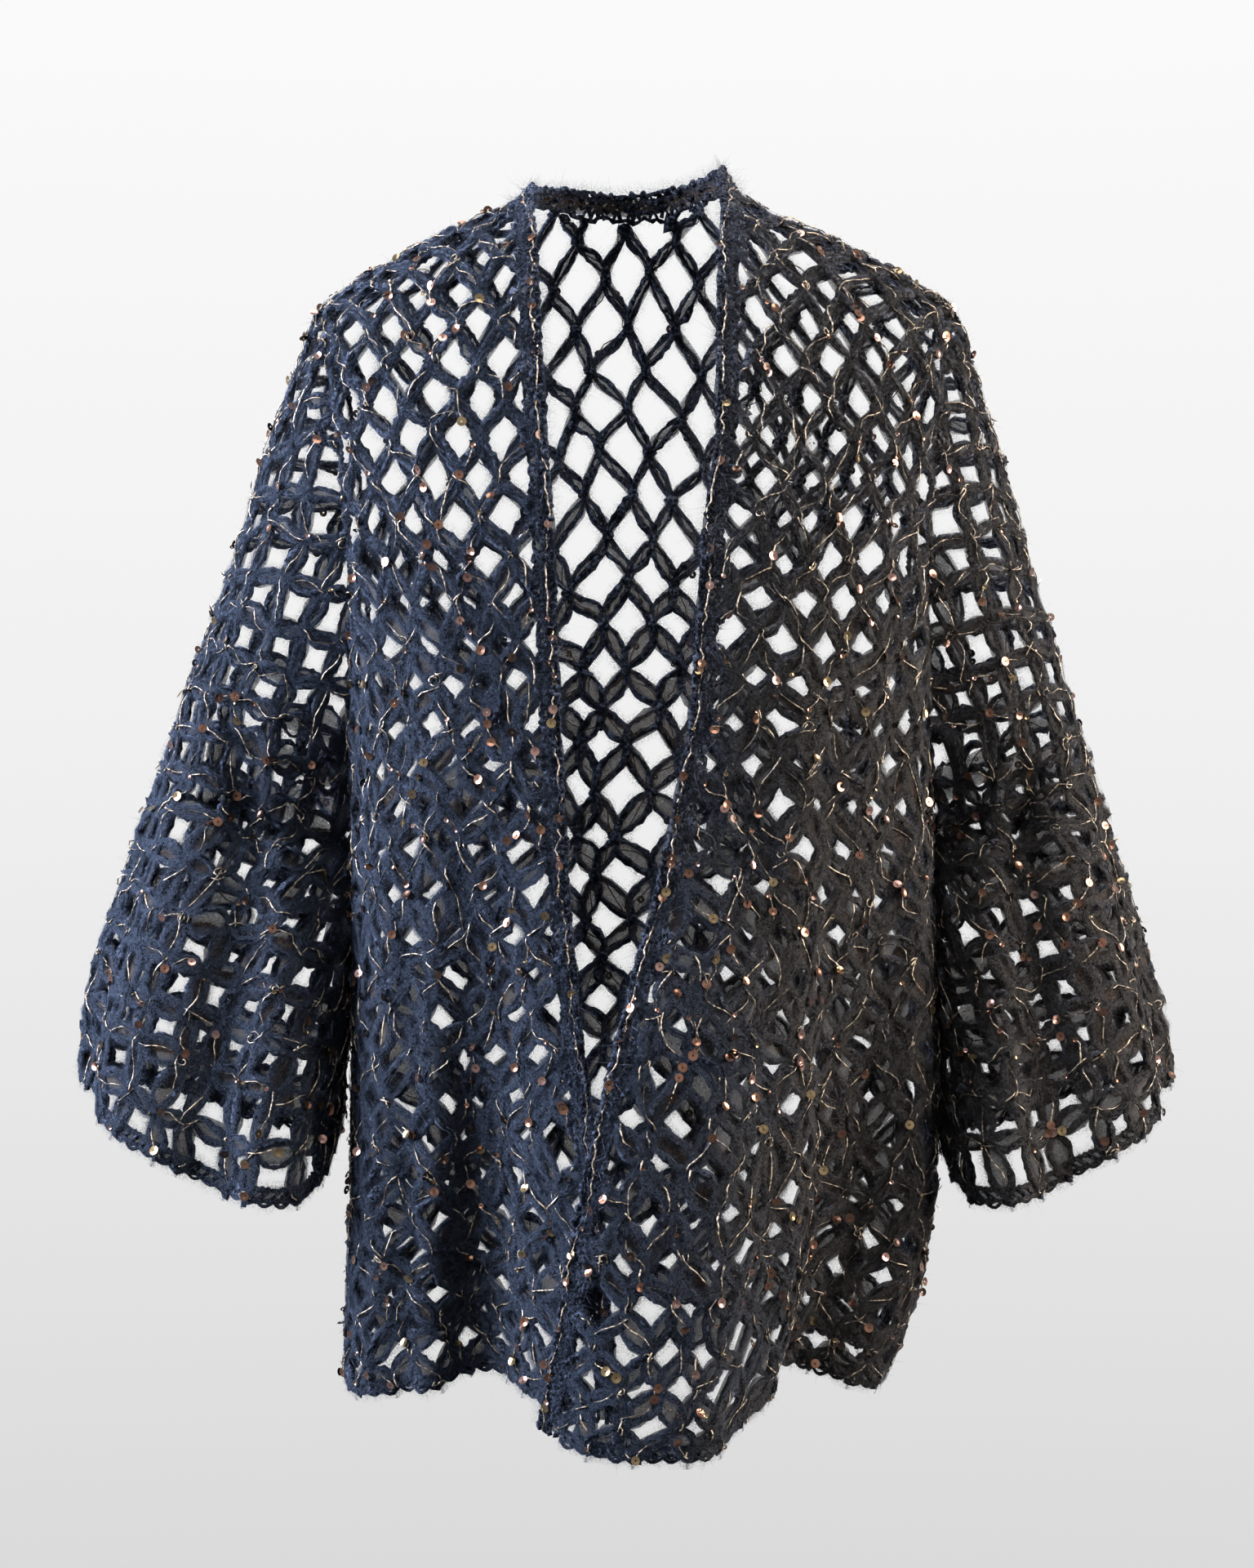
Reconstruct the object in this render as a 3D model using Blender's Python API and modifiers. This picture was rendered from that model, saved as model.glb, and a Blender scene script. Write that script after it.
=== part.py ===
"""An open-knit cardigan in its worn shape: two fronts, a back, two wide sleeves and a narrow edging band.

Each piece is a thin cloth wall on a surface worked out from the section, edge, armhole, sleeve and fold
tables below. Frame: +X towards the wearer's left, +Y towards the wearer's back, +Z up, origin at the
middle of the neck opening, level with the shoulder seams. The tables are in millimetres.
"""

import math
from collections import namedtuple

import bmesh
import bpy
import numpy as np

MM = 0.001

# Cloth
WALL = 2.5            # thickness of the net
BAND_WALL = 3.2       # thickness of the dense edging band
BAND_WIDTH = 14.0
SEAM_GAP = 0.7        # space left between two pieces at a seam, along the middle of the wall

# Body ring
SPREAD = 2.6          # how an angle round the ring is turned into a place across it
SEAM_Y = 8.0          # the shoulder and side seams lie a little behind the middle
NECK_SIDE = 61.0      # half width of the neck opening at the shoulder seam
NECK_BACK = 64.0      # how far the neck opening reaches behind the shoulder seam
SHOULDER_CURVE = 1.4  # how the shoulder line steepens towards its tip
NECK_RISE_RIGHT = 20.0
NECK_RISE_LEFT = 34.0
NECK_REACH = 13.0     # distance over which the cloth rises towards the neck
NAPE_RISE = 46.0      # the same at the middle of the back neck
NAPE_REACH = 60.0
SHOULDER_SEAM_REACH = 80.0  # run over which front and back close up below the shoulder seam
HEM_RUN = 850.0       # cloth length from the shoulder seam to the hem
HEM_SAG = 0.45        # a ridge hangs this share of its depth lower at the hem, a valley as much higher
HEM_SAG_START = 560.0
LEAST_DEPTH = 6.0     # ring depth that the side seam's gap is worked out from near the shoulder
YOKE_RUN = 300.0      # the back neck lies above this run
YOKE_STEPS = 600
YOKE_ROUNDS = 4       # rounds in which a place on the back's yoke settles
COLUMNS_EVEN = 0.5    # share of the back's length below which its columns are evenly spaced

# Overlap of the wearer's left front on the right one
LAP = 11.0            # how far the left front stands off the ring where it crosses
LAP_DROP = 17.0       # how much lower it hangs there
LAP_START = 480.0
LAP_FULL = 620.0
LAP_ANGLES = (10.0, 34.0)

# Sleeves
UNDERARM_RUN = 485.0  # run of the body's underarm point
SLEEVE_TOP_RUN = 40.0  # run of the armhole's edge where the sleeve's first row ends
UNDERARM_SHARE = 0.64  # share of the sleeve's length at which its seam starts
ARMHOLE_STEPS = 90
SLEEVE_STANDOFF = (1.6, 2.8)  # from the body's wall, at the armhole's edge and at the underarm
STANDOFF_START = 0.35  # share of the sleeve's length where the standoff starts to grow
SLEEVE_SEAM_GAP = 0.9
SLEEVE_SEAM_START = 0.5
TUBE_CLOSES = (0.42, 0.74)  # shares between which the armhole's two edges turn in to one seam
CUFF_INNER_RIGHT = 191.0
CUFF_INNER_LEFT = 206.0
CUFF_INNER_HEIGHT = -612.0
CUFF_INNER_Y = 0.0
CUFF_TIP_Y = 26.0
CUFF_SAG_FRONT = 46.0  # how far the cuff hangs below a straight edge, between ridge and seam
CUFF_SAG_BACK = 16.0
CUFF_SAG_START = 0.45
SAG_PEAK = 27 / 4     # brings the highest point of the sag's curve to 1
SLOPE_STEP = 0.004    # step over which a sleeve's slope is measured

# Grid steps of each piece
FRONT_STEPS = (18, 22)
BACK_SIDE_STEPS = 11
BACK_NECK_STEPS = 12
BACK_STEPS_DOWN = 22
SLEEVE_STEPS = (34, 15)
BAND_STEPS = (2, 38)
NECK_BAND_STEPS = (BACK_NECK_STEPS, 2)

# Sections of the body ring. run: cloth length below the shoulder seam. drop: height at the neck.
# fall: how much lower the side is. half_right, half_left: half widths. front, back: depths.
# square: the ring's squareness, where 2 is an ellipse and more is boxier.
Section = namedtuple("Section", "run drop fall half_right half_left front back square")
SECTIONS = (
    Section(0, -10, -65, 197, 210, 0, 0, 6.0),
    Section(30, -12, -64, 197, 210, 30, 30, 5.6),
    Section(60, -22, -61, 197, 210, 58, 57, 5.0),
    Section(100, -47, -56, 197, 210, 88, 84, 4.2),
    Section(150, -92, -46, 195, 208, 108, 102, 3.6),
    Section(220, -160, -34, 191, 205, 120, 112, 3.1),
    Section(300, -239, -20, 186, 202, 126, 118, 2.8),
    Section(400, -339, -8, 180, 198, 127, 120, 2.7),
    Section(485, -424, 0, 175, 194, 126, 120, 2.6),
    Section(620, -559, 0, 173, 195, 124, 121, 2.6),
    Section(700, -639, 0, 173, 194, 124, 122, 2.6),
    Section(780, -710, 0, 175, 182, 125, 123, 2.6),
    Section(850, -765, 0, 177, 160, 126, 124, 2.6),
)

# Where the two front edges lie across the ring.
Edge = namedtuple("Edge", "run right left")
FRONT_EDGES = (
    Edge(0, -61, 61),
    Edge(60, -60, 60),
    Edge(100, -57, 58),
    Edge(150, -54, 56),
    Edge(220, -50, 55),
    Edge(300, -45, 46),
    Edge(400, -41, 39),
    Edge(500, -36, 20),
    Edge(600, -27, -7),
    Edge(700, -14, -31),
    Edge(850, -4, -54),
)

# The armhole, as the share of the ring's depth that it takes on each side of the side line.
ARMHOLE_BEND = 2.6    # how much more the back's outer columns bend round it than the inner ones
Armhole = namedtuple("Armhole", "run share")
ARMHOLE = (
    Armhole(0, 0.00),
    Armhole(30, 0.45),
    Armhole(70, 0.56),
    Armhole(150, 0.56),
    Armhole(220, 0.54),
    Armhole(340, 0.45),
    Armhole(430, 0.27),
    Armhole(485, 0.00),
    Armhole(850, 0.00),
)

# Sections of a sleeve. share: of its length. right_out, left_out, height: each sleeve's outer ridge.
# outer_swell, inner_swell: how strongly the cloth sets off round the ridge, and comes in to its edge.
SleeveSection = namedtuple("SleeveSection", "share right_out left_out height outer_swell inner_swell")
SLEEVE_SECTIONS = (
    SleeveSection(0.00, 201, 214, -76, 26, 14),
    SleeveSection(0.05, 211, 222, -100, 50, 30),
    SleeveSection(0.16, 232, 240, -155, 90, 60),
    SleeveSection(0.34, 261, 266, -245, 130, 90),
    SleeveSection(0.55, 298, 297, -351, 190, 170),
    SleeveSection(0.75, 333, 329, -452, 230, 330),
    SleeveSection(0.91, 357, 353, -533, 245, 410),
    SleeveSection(1.00, 362, 361, -579, 250, 430),
)

# Folds of the body ring. angle: place, 0 at centre front, 90 at the wearer's left side, 180 at centre
# back. half: half width in degrees. depth: outwards is positive. start, full: runs where it grows.
FOLD_SOFTNESS = 0.8   # 1 is a round fold, less has a flatter top
Fold = namedtuple("Fold", "angle half depth start full")
BODY_FOLDS = (
    Fold(-62, 20, 12, 400, 800),
    Fold(-27, 16, -26, 330, 830),
    Fold(5, 20, 27, 420, 830),
    Fold(41, 19, -28, 360, 820),
    Fold(70, 14, 9, 330, 640),
    Fold(112, 17, 13, 430, 800),
    Fold(135, 14, -15, 330, 830),
    Fold(156, 15, 17, 380, 830),
    Fold(177, 14, -13, 260, 800),
    Fold(199, 16, 18, 400, 840),
    Fold(222, 14, -16, 330, 800),
    Fold(246, 15, 12, 430, 830),
)

# Folds along a sleeve. angle: place round it, -180 at the front edge, 0 at the outer ridge, 180 at the
# back edge. start, full: shares of its length.
SLEEVE_FOLDS = (
    Fold(-24, 18, -5, 0.45, 0.95),
    Fold(-58, 24, 11, 0.35, 0.95),
    Fold(-98, 20, -9, 0.40, 0.90),
    Fold(-132, 22, 8, 0.45, 0.95),
    Fold(28, 18, -6, 0.40, 0.95),
    Fold(64, 24, 10, 0.30, 0.90),
    Fold(104, 20, -9, 0.40, 0.95),
    Fold(136, 20, 7, 0.45, 0.95),
)

NET_COLOUR = (0.020, 0.024, 0.050, 1.0)
BAND_COLOUR = (0.024, 0.026, 0.046, 1.0)
YARN_ROUGHNESS = 0.9


def smooth_value(rows, column, at):
    """A table column at any place along the table's first column, on a curve that never overshoots."""
    knots = np.array([row[0] for row in rows], float)
    values = np.array([getattr(row, column) for row in rows], float)
    steps = np.diff(knots)
    slopes = np.diff(values) / steps
    before, after = slopes[:-1], slopes[1:]
    same_way = before * after > 0
    inner = np.where(same_way, 2 * before * after / np.where(same_way, before + after, 1), 0)
    tangents = np.concatenate([slopes[:1], inner, slopes[-1:]])
    at = np.clip(np.asarray(at, float), knots[0], knots[-1])
    index = np.clip(np.searchsorted(knots, at, side="right") - 1, 0, len(steps) - 1)
    width = steps[index]
    share = (at - knots[index]) / width
    rest = 1 - share
    return (values[index] * (1 + 2 * share) * rest ** 2
            + values[index + 1] * share ** 2 * (3 - 2 * share)
            + tangents[index] * width * share * rest ** 2
            - tangents[index + 1] * width * share ** 2 * rest)


def ramp(value, low, high):
    """0 below low, 1 above high, and smooth between."""
    share = np.clip((value - low) / (high - low), 0, 1)
    return share * share * (3 - 2 * share)


def fold_depth(folds, degrees, along):
    """The sum of the folds at a place round a ring, each a smooth bump that grows along the cloth."""
    total = 0 * (degrees + along)
    for fold in folds:
        apart = (degrees - fold.angle + 180) % 360 - 180
        bump = ramp(1 - np.abs(apart) / fold.half, 0, FOLD_SOFTNESS)
        total = total + fold.depth * bump * ramp(along, fold.start, fold.full)
    return total


def signed_power(value, power):
    return np.sign(value) * np.abs(value) ** power


def body_surface(angle, run, left_front=False):
    """Points of the body ring at an angle in radians and a run in mm."""
    section = {name: smooth_value(SECTIONS, name, run) for name in Section._fields[1:]}
    sine, cosine = np.sin(angle), np.cos(angle)
    square = section["square"]
    half = np.where(sine > 0, section["half_left"], section["half_right"])
    depth = np.where(cosine > 0, section["front"], section["back"])
    across = signed_power(sine, 2 / SPREAD)
    inward = np.sign(cosine) * np.maximum(1 - np.abs(across) ** square, 0) ** (1 / square)
    shoulder = 1 - ramp(run, 0, SHOULDER_SEAM_REACH)
    x = half * across
    forward = depth * inward + 0.5 * SEAM_GAP * shoulder * np.sign(cosine)
    push = fold_depth(BODY_FOLDS, np.degrees(angle), run)
    sag = push * HEM_SAG * ramp(run, HEM_SAG_START, HEM_RUN)
    if left_front:
        crossing = 1 - ramp(np.degrees(angle), *LAP_ANGLES)
        push = push + LAP * ramp(run, LAP_START, LAP_FULL) * crossing
        sag = sag + LAP_DROP * ramp(run, LAP_START, HEM_RUN) * crossing
    normal_x = signed_power(across, square - 1) / half
    normal_forward = signed_power(inward, square - 1) / np.maximum(depth, 1)
    length = np.hypot(normal_x, normal_forward)
    slope = np.clip((np.abs(x) - NECK_SIDE) / (half - NECK_SIDE), 0, 1) ** SHOULDER_CURVE
    from_neck = np.maximum(np.hypot(x, forward) - NECK_SIDE, 0)
    lean = np.clip(x / NECK_SIDE, -1, 1)
    rise = (NECK_RISE_LEFT + NECK_RISE_RIGHT + lean * (NECK_RISE_LEFT - NECK_RISE_RIGHT)) / 2
    nape = np.clip(-forward / np.maximum(np.hypot(x, forward), 1), 0, 1) ** 2
    rise = rise + (NAPE_RISE - rise) * nape
    reach = NECK_REACH + (NAPE_REACH - NECK_REACH) * nape
    z = section["drop"] + section["fall"] * slope + rise * np.exp(-from_neck / reach) - sag
    x = x + push * normal_x / length
    forward = forward + push * normal_forward / length
    return np.stack([x, SEAM_Y - forward, z], axis=-1)


def angle_at(x, run):
    """The angle at which the front of the ring is x across."""
    half_left = smooth_value(SECTIONS, "half_left", run)
    half_right = smooth_value(SECTIONS, "half_right", run)
    half = np.where(x > 0, half_left, half_right)
    return np.arcsin(signed_power(x / half, SPREAD / 2))


def side_angle(run, depth_column):
    """How far round from the middle a panel reaches: to the armhole's edge, or below it to the side seam."""
    depth = np.maximum(smooth_value(SECTIONS, depth_column, run), LEAST_DEPTH)
    share = np.maximum(smooth_value(ARMHOLE, "share", run), 0.5 * SEAM_GAP / depth)
    square = smooth_value(SECTIONS, "square", run)
    across = (1 - share ** square) ** (1 / square)
    return np.arcsin(across ** (SPREAD / 2))


def back_place(x, behind):
    """The angle and the run of the back over a place in plan, near the shoulders."""
    half = np.where(x > 0, SECTIONS[0].half_left, SECTIONS[0].half_right)
    runs = np.linspace(0, YOKE_RUN, YOKE_STEPS + 1)
    depths = smooth_value(SECTIONS, "back", runs)
    inward = 1.0
    for _ in range(YOKE_ROUNDS):
        run = np.interp(behind / inward, depths, runs)
        square = smooth_value(SECTIONS, "square", run)
        inward = (1 - np.abs(x / half) ** square) ** (1 / square)
    return math.pi - np.arcsin(signed_power(x / half, SPREAD / 2)), run


def neck_oval(turn, out):
    """Plan of the back neck, out beyond its opening: turn is a right angle at the left shoulder."""
    x = (NECK_SIDE + out) * np.sin(turn)
    behind = (NECK_BACK + out) * np.cos(turn)
    return x, behind


def front_surface(side):
    """Maps a unit grid to one front: across from its band to its side, down from shoulder to hem."""
    column = "left" if side > 0 else "right"

    def place(across, down):
        run = down * HEM_RUN
        edge = smooth_value(FRONT_EDGES, column, run) + side * (BAND_WIDTH + SEAM_GAP)
        start = angle_at(edge, run)
        end = side * side_angle(run, "front")
        return body_surface(start + (end - start) * across, run, side > 0)

    return place


def band_surface(side):
    """Maps a unit grid to the band on one front edge."""
    column = "left" if side > 0 else "right"

    def place(across, down):
        run = down * HEM_RUN
        edge = smooth_value(FRONT_EDGES, column, run) + side * BAND_WIDTH * across
        return body_surface(angle_at(edge, run), run, side > 0)

    return place


def neck_band_surface(across, out):
    """Maps a unit grid to the band round the back neck."""
    angle, run = back_place(*neck_oval((0.5 - across) * math.pi, out * BAND_WIDTH))
    return body_surface(angle, run)


def back_surface():
    """Maps a unit grid to the back: its top follows one shoulder, the neck band and the other shoulder."""
    turns = np.linspace(0.5, -0.5, BACK_NECK_STEPS + 1) * math.pi
    neck_angles, neck_runs = back_place(*neck_oval(turns, BAND_WIDTH + SEAM_GAP))
    neck_shares = (neck_angles - math.pi) / (0.5 * math.pi)
    left = np.linspace(-1, neck_shares[0], BACK_SIDE_STEPS + 1)[:-1]
    right = np.linspace(neck_shares[-1], 1, BACK_SIDE_STEPS + 1)[1:]
    top_shares = np.concatenate([left, neck_shares, right])
    top_runs = np.concatenate([0 * left, neck_runs, 0 * right])
    columns = len(top_shares) - 1

    def place(across, down):
        column = np.rint(across * columns).astype(int)
        run = top_runs[column] + down * (HEM_RUN - top_runs[column])
        share = top_shares[column] + (2 * across - 1 - top_shares[column]) * ramp(down, 0, COLUMNS_EVEN)
        cut_in = (0.5 * math.pi - side_angle(run, "back")) * np.abs(share) ** ARMHOLE_BEND
        angle = math.pi + share * 0.5 * math.pi - np.sign(share) * cut_in
        return body_surface(angle, run)

    return place, columns


def sleeve_edge(side, facing, share):
    """The sleeve's edge: along the armhole, then down the seam on the side of the body."""
    column = "front" if facing > 0 else "back"
    runs = np.linspace(SLEEVE_TOP_RUN, UNDERARM_RUN, ARMHOLE_STEPS)
    reach = side_angle(runs, column)
    armhole = body_surface(side * (reach if facing > 0 else math.pi - reach), runs)
    along = np.interp(-smooth_value(SLEEVE_SECTIONS, "height", share), -armhole[:, 2], np.arange(len(runs)))
    along = np.where(share < UNDERARM_SHARE, along, len(runs) - 1)
    points = np.stack([np.interp(along, np.arange(len(runs)), armhole[:, axis]) for axis in range(3)], -1)
    growth = np.ptp(SLEEVE_STANDOFF) * ramp(share, STANDOFF_START, UNDERARM_SHARE)
    points[..., 0] += side * (SLEEVE_STANDOFF[0] + growth)
    below = np.clip((share - UNDERARM_SHARE) / (1 - UNDERARM_SHARE), 0, 1)[..., None]
    inner = CUFF_INNER_LEFT if side > 0 else CUFF_INNER_RIGHT
    cuff = np.array([side * inner, CUFF_INNER_Y - 0.5 * facing * SLEEVE_SEAM_GAP, CUFF_INNER_HEIGHT])
    points[..., 1] -= 0.5 * facing * SLEEVE_SEAM_GAP * ramp(share, SLEEVE_SEAM_START, UNDERARM_SHARE)
    return points + (cuff - points) * below


def sleeve_shape(side, around, share):
    """Points of a sleeve without folds. around: -1 at its front edge, 0 at its ridge, 1 at its back edge."""
    reach = np.abs(around)
    rest = 1 - reach
    ridge_weight = (1 + 2 * reach) * rest ** 2
    edge_weight = reach ** 2 * (3 - 2 * reach)
    out = smooth_value(SLEEVE_SECTIONS, "left_out" if side > 0 else "right_out", share)
    ridge_y = SEAM_Y + (CUFF_TIP_Y - SEAM_Y) * share
    ridge = np.stack([side * out, ridge_y, smooth_value(SLEEVE_SECTIONS, "height", share)], -1)
    facing = np.where(around < 0, 1.0, -1.0)
    front_edge, back_edge = sleeve_edge(side, 1, share), sleeve_edge(side, -1, share)
    edge = np.where(facing[..., None] > 0, front_edge, back_edge)
    set_off = smooth_value(SLEEVE_SECTIONS, "outer_swell", share) * reach * rest ** 2
    come_in = smooth_value(SLEEVE_SECTIONS, "inner_swell", share) * reach ** 2 * rest
    closing = ramp(share, *TUBE_CLOSES)
    sag = np.where(facing > 0, CUFF_SAG_FRONT, CUFF_SAG_BACK) * ramp(share, CUFF_SAG_START, 1)
    sag = sag * SAG_PEAK * reach ** 2 * rest
    points = ridge * ridge_weight[..., None] + edge * edge_weight[..., None]
    points[..., 0] += side * come_in * (1 - closing)
    points[..., 1] -= facing * (set_off + come_in * closing)
    points[..., 2] -= sag
    return points


def sleeve_surface(side):
    """Maps a unit grid to one sleeve: across from its front edge round to its back edge, down to the cuff."""

    def place(across, share):
        around = 2 * across - 1
        after, before = around + SLOPE_STEP, around - SLOPE_STEP
        below, above = share + SLOPE_STEP, share - SLOPE_STEP
        round_it = sleeve_shape(side, after, share) - sleeve_shape(side, before, share)
        along = sleeve_shape(side, around, below) - sleeve_shape(side, around, above)
        normal = side * np.cross(along, round_it)
        normal /= np.linalg.norm(normal, axis=-1, keepdims=True)
        push = fold_depth(SLEEVE_FOLDS, 180 * around, share)
        return sleeve_shape(side, around, share) + push[..., None] * normal

    return place


def yarn(name, colour):
    """Brushed yarn: matt, dark and soft."""
    material = bpy.data.materials.new(name)
    material.use_nodes = True
    shader = material.node_tree.nodes["Principled BSDF"]
    shader.inputs["Base Color"].default_value = colour
    shader.inputs["Roughness"].default_value = YARN_ROUGHNESS
    return material


def cloth_piece(name, steps, place, wall, material, collection):
    """A grid moved onto a surface and thickened evenly to both sides."""
    mesh = bpy.data.meshes.new(name)
    work = bmesh.new()
    bmesh.ops.create_grid(work, x_segments=steps[0], y_segments=steps[1], size=0.5)
    unit = np.array([vert.co for vert in work.verts])
    points = place(unit[:, 0] + 0.5, 0.5 - unit[:, 1]) * MM
    for vert, point in zip(work.verts, points):
        vert.co = point
    bmesh.ops.triangulate(work, faces=work.faces, quad_method="SHORT_EDGE")
    bmesh.ops.recalc_face_normals(work, faces=work.faces)
    work.to_mesh(mesh)
    work.free()
    mesh.shade_smooth()
    mesh.materials.append(material)
    piece = bpy.data.objects.new(name, mesh)
    collection.objects.link(piece)
    solid = piece.modifiers.new("Wall", "SOLIDIFY")
    solid.thickness = wall * MM
    solid.offset = 0
    solid.use_even_offset = True
    return piece


def build_cardigan():
    for leftover in list(bpy.data.objects):
        bpy.data.objects.remove(leftover, do_unlink=True)
    cardigan = bpy.data.collections.new("open_knit_cardigan")
    bpy.context.scene.collection.children.link(cardigan)
    net = yarn("mohair net", NET_COLOUR)
    edging = yarn("mohair edging", BAND_COLOUR)
    for name, side in (("right", -1), ("left", 1)):
        cloth_piece(f"front_{name}", FRONT_STEPS, front_surface(side), WALL, net, cardigan)
        cloth_piece(f"sleeve_{name}", SLEEVE_STEPS, sleeve_surface(side), WALL, net, cardigan)
        cloth_piece(f"band_{name}", BAND_STEPS, band_surface(side), BAND_WALL, edging, cardigan)
    back, columns = back_surface()
    cloth_piece("back", (columns, BACK_STEPS_DOWN), back, WALL, net, cardigan)
    cloth_piece("band_neck", NECK_BAND_STEPS, neck_band_surface, BAND_WALL, edging, cardigan)


build_cardigan()
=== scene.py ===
import math
from collections import namedtuple

import bmesh
import bpy
import numpy as np
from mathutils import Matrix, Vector


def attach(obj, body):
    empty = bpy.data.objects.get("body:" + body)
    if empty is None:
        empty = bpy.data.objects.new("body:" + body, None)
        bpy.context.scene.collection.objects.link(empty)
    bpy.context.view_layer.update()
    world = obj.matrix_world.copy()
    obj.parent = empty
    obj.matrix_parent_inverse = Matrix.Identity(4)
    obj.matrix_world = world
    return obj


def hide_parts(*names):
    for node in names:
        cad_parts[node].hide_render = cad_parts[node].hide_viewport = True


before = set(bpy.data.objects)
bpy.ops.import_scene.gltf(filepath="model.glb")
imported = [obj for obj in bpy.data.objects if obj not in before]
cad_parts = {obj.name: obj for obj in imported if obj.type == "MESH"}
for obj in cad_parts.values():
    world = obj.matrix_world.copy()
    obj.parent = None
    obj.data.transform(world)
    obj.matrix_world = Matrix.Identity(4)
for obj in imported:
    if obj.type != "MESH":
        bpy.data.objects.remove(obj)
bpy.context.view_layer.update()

MM = 0.001
SEED = 41
SLEEVE_SEED = 10
BACK_SEED = 20

# Cloth, as in the solids. A run is a length of cloth down from the shoulder.
BAND_WIDTH = 14.0
SEAM_GAP = 0.7
SPREAD = 2.6          # how the angle round a ring is spread over its width
SEAM_Y = 8.0          # where the shoulder and side seams lie, from front to back
NECK_SIDE = 61.0      # half the neck's width, and how far back it reaches
NECK_BACK = 64.0
SHOULDER_CURVE = 1.4
NECK_RISE_RIGHT = 20.0  # how far the cloth rises at the neck, and how far out from it
NECK_RISE_LEFT = 34.0
NECK_REACH = 13.0
NAPE_RISE = 46.0
NAPE_REACH = 60.0
SHOULDER_SEAM_REACH = 80.0
HEM_RUN = 850.0
HEM_SAG = 0.45        # how much lower the hem hangs for each mm that a fold stands out
HEM_SAG_START = 560.0
LEAST_DEPTH = 6.0
YOKE_RUN = 300.0      # how far down the back is searched for a place by the neck, and how finely
YOKE_STEPS = 600
YOKE_ROUNDS = 4
LAP = 11.0            # how far out the left front stands where it laps over the right, and how far it drops
LAP_DROP = 17.0
LAP_START = 480.0
LAP_FULL = 620.0
LAP_ANGLES = (10.0, 34.0)
UNDERARM_RUN = 485.0
SLEEVE_TOP_RUN = 40.0
UNDERARM_SHARE = 0.64  # where the underarm is along a sleeve, as a share of its length
UNDERARM_EASE = 0.12
ARMHOLE_STEPS = 90
SLEEVE_STANDOFF = (1.6, 2.8)
STANDOFF_START = 0.35
SLEEVE_SEAM_GAP = 0.9
SLEEVE_SEAM_START = 0.5
TUBE_CLOSES = (0.42, 0.74)
CUFF_INNER_RIGHT = 191.0
CUFF_INNER_LEFT = 206.0
CUFF_INNER_HEIGHT = -612.0
CUFF_INNER_Y = 0.0
CUFF_TIP_Y = 26.0
CUFF_SAG_FRONT = 46.0
CUFF_SAG_BACK = 16.0
CUFF_SAG_START = 0.45
SAG_PEAK = 27 / 4     # brings the curve of the cuff's sag to 1 at its peak
SLOPE_STEP = 0.004    # steps over which a surface's slope is taken, in shares and in mm
NORMAL_STEP = 1.0

# Rings of the body by their run. drop: height near the neck, with fall added towards the outer ends.
# half_right, half_left: half widths. front, back: depths. square: how square the ring's corners are.
Section = namedtuple("Section", "run drop fall half_right half_left front back square")
SECTIONS = (
    Section(0, -10, -65, 197, 210, 0, 0, 6.0),
    Section(30, -12, -64, 197, 210, 30, 30, 5.6),
    Section(60, -22, -61, 197, 210, 58, 57, 5.0),
    Section(100, -47, -56, 197, 210, 88, 84, 4.2),
    Section(150, -92, -46, 195, 208, 108, 102, 3.6),
    Section(220, -160, -34, 191, 205, 120, 112, 3.1),
    Section(300, -239, -20, 186, 202, 126, 118, 2.8),
    Section(400, -339, -8, 180, 198, 127, 120, 2.7),
    Section(485, -424, 0, 175, 194, 126, 120, 2.6),
    Section(620, -559, 0, 173, 195, 124, 121, 2.6),
    Section(700, -639, 0, 173, 194, 124, 122, 2.6),
    Section(780, -710, 0, 175, 182, 125, 123, 2.6),
    Section(850, -765, 0, 177, 160, 126, 124, 2.6),
)

# How far across the open edge of each front is, by its run
Edge = namedtuple("Edge", "run right left")
FRONT_EDGES = (
    Edge(0, -61, 61),
    Edge(60, -60, 60),
    Edge(100, -57, 58),
    Edge(150, -54, 56),
    Edge(220, -50, 55),
    Edge(300, -45, 46),
    Edge(400, -41, 39),
    Edge(500, -36, 20),
    Edge(600, -27, -7),
    Edge(700, -14, -31),
    Edge(850, -4, -54),
)

# How far from the side the fronts and the back end at the armhole, as a share of the ring's depth there
Armhole = namedtuple("Armhole", "run share")
ARMHOLE = (
    Armhole(0, 0.00),
    Armhole(30, 0.45),
    Armhole(70, 0.56),
    Armhole(150, 0.56),
    Armhole(220, 0.54),
    Armhole(340, 0.45),
    Armhole(430, 0.27),
    Armhole(485, 0.00),
    Armhole(850, 0.00),
)

# Rings of a sleeve by their share of its length. right_out, left_out, height: where its ridge is.
# outer_swell, inner_swell: how far it swells out near the ridge and near its seam.
SleeveSection = namedtuple("SleeveSection", "share right_out left_out height outer_swell inner_swell")
SLEEVE_SECTIONS = (
    SleeveSection(0.00, 201, 214, -76, 26, 14),
    SleeveSection(0.05, 211, 222, -100, 50, 30),
    SleeveSection(0.16, 232, 240, -155, 90, 60),
    SleeveSection(0.34, 261, 266, -245, 130, 90),
    SleeveSection(0.55, 298, 297, -351, 190, 170),
    SleeveSection(0.75, 333, 329, -452, 230, 330),
    SleeveSection(0.91, 357, 353, -533, 245, 410),
    SleeveSection(1.00, 362, 361, -579, 250, 430),
)

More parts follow.
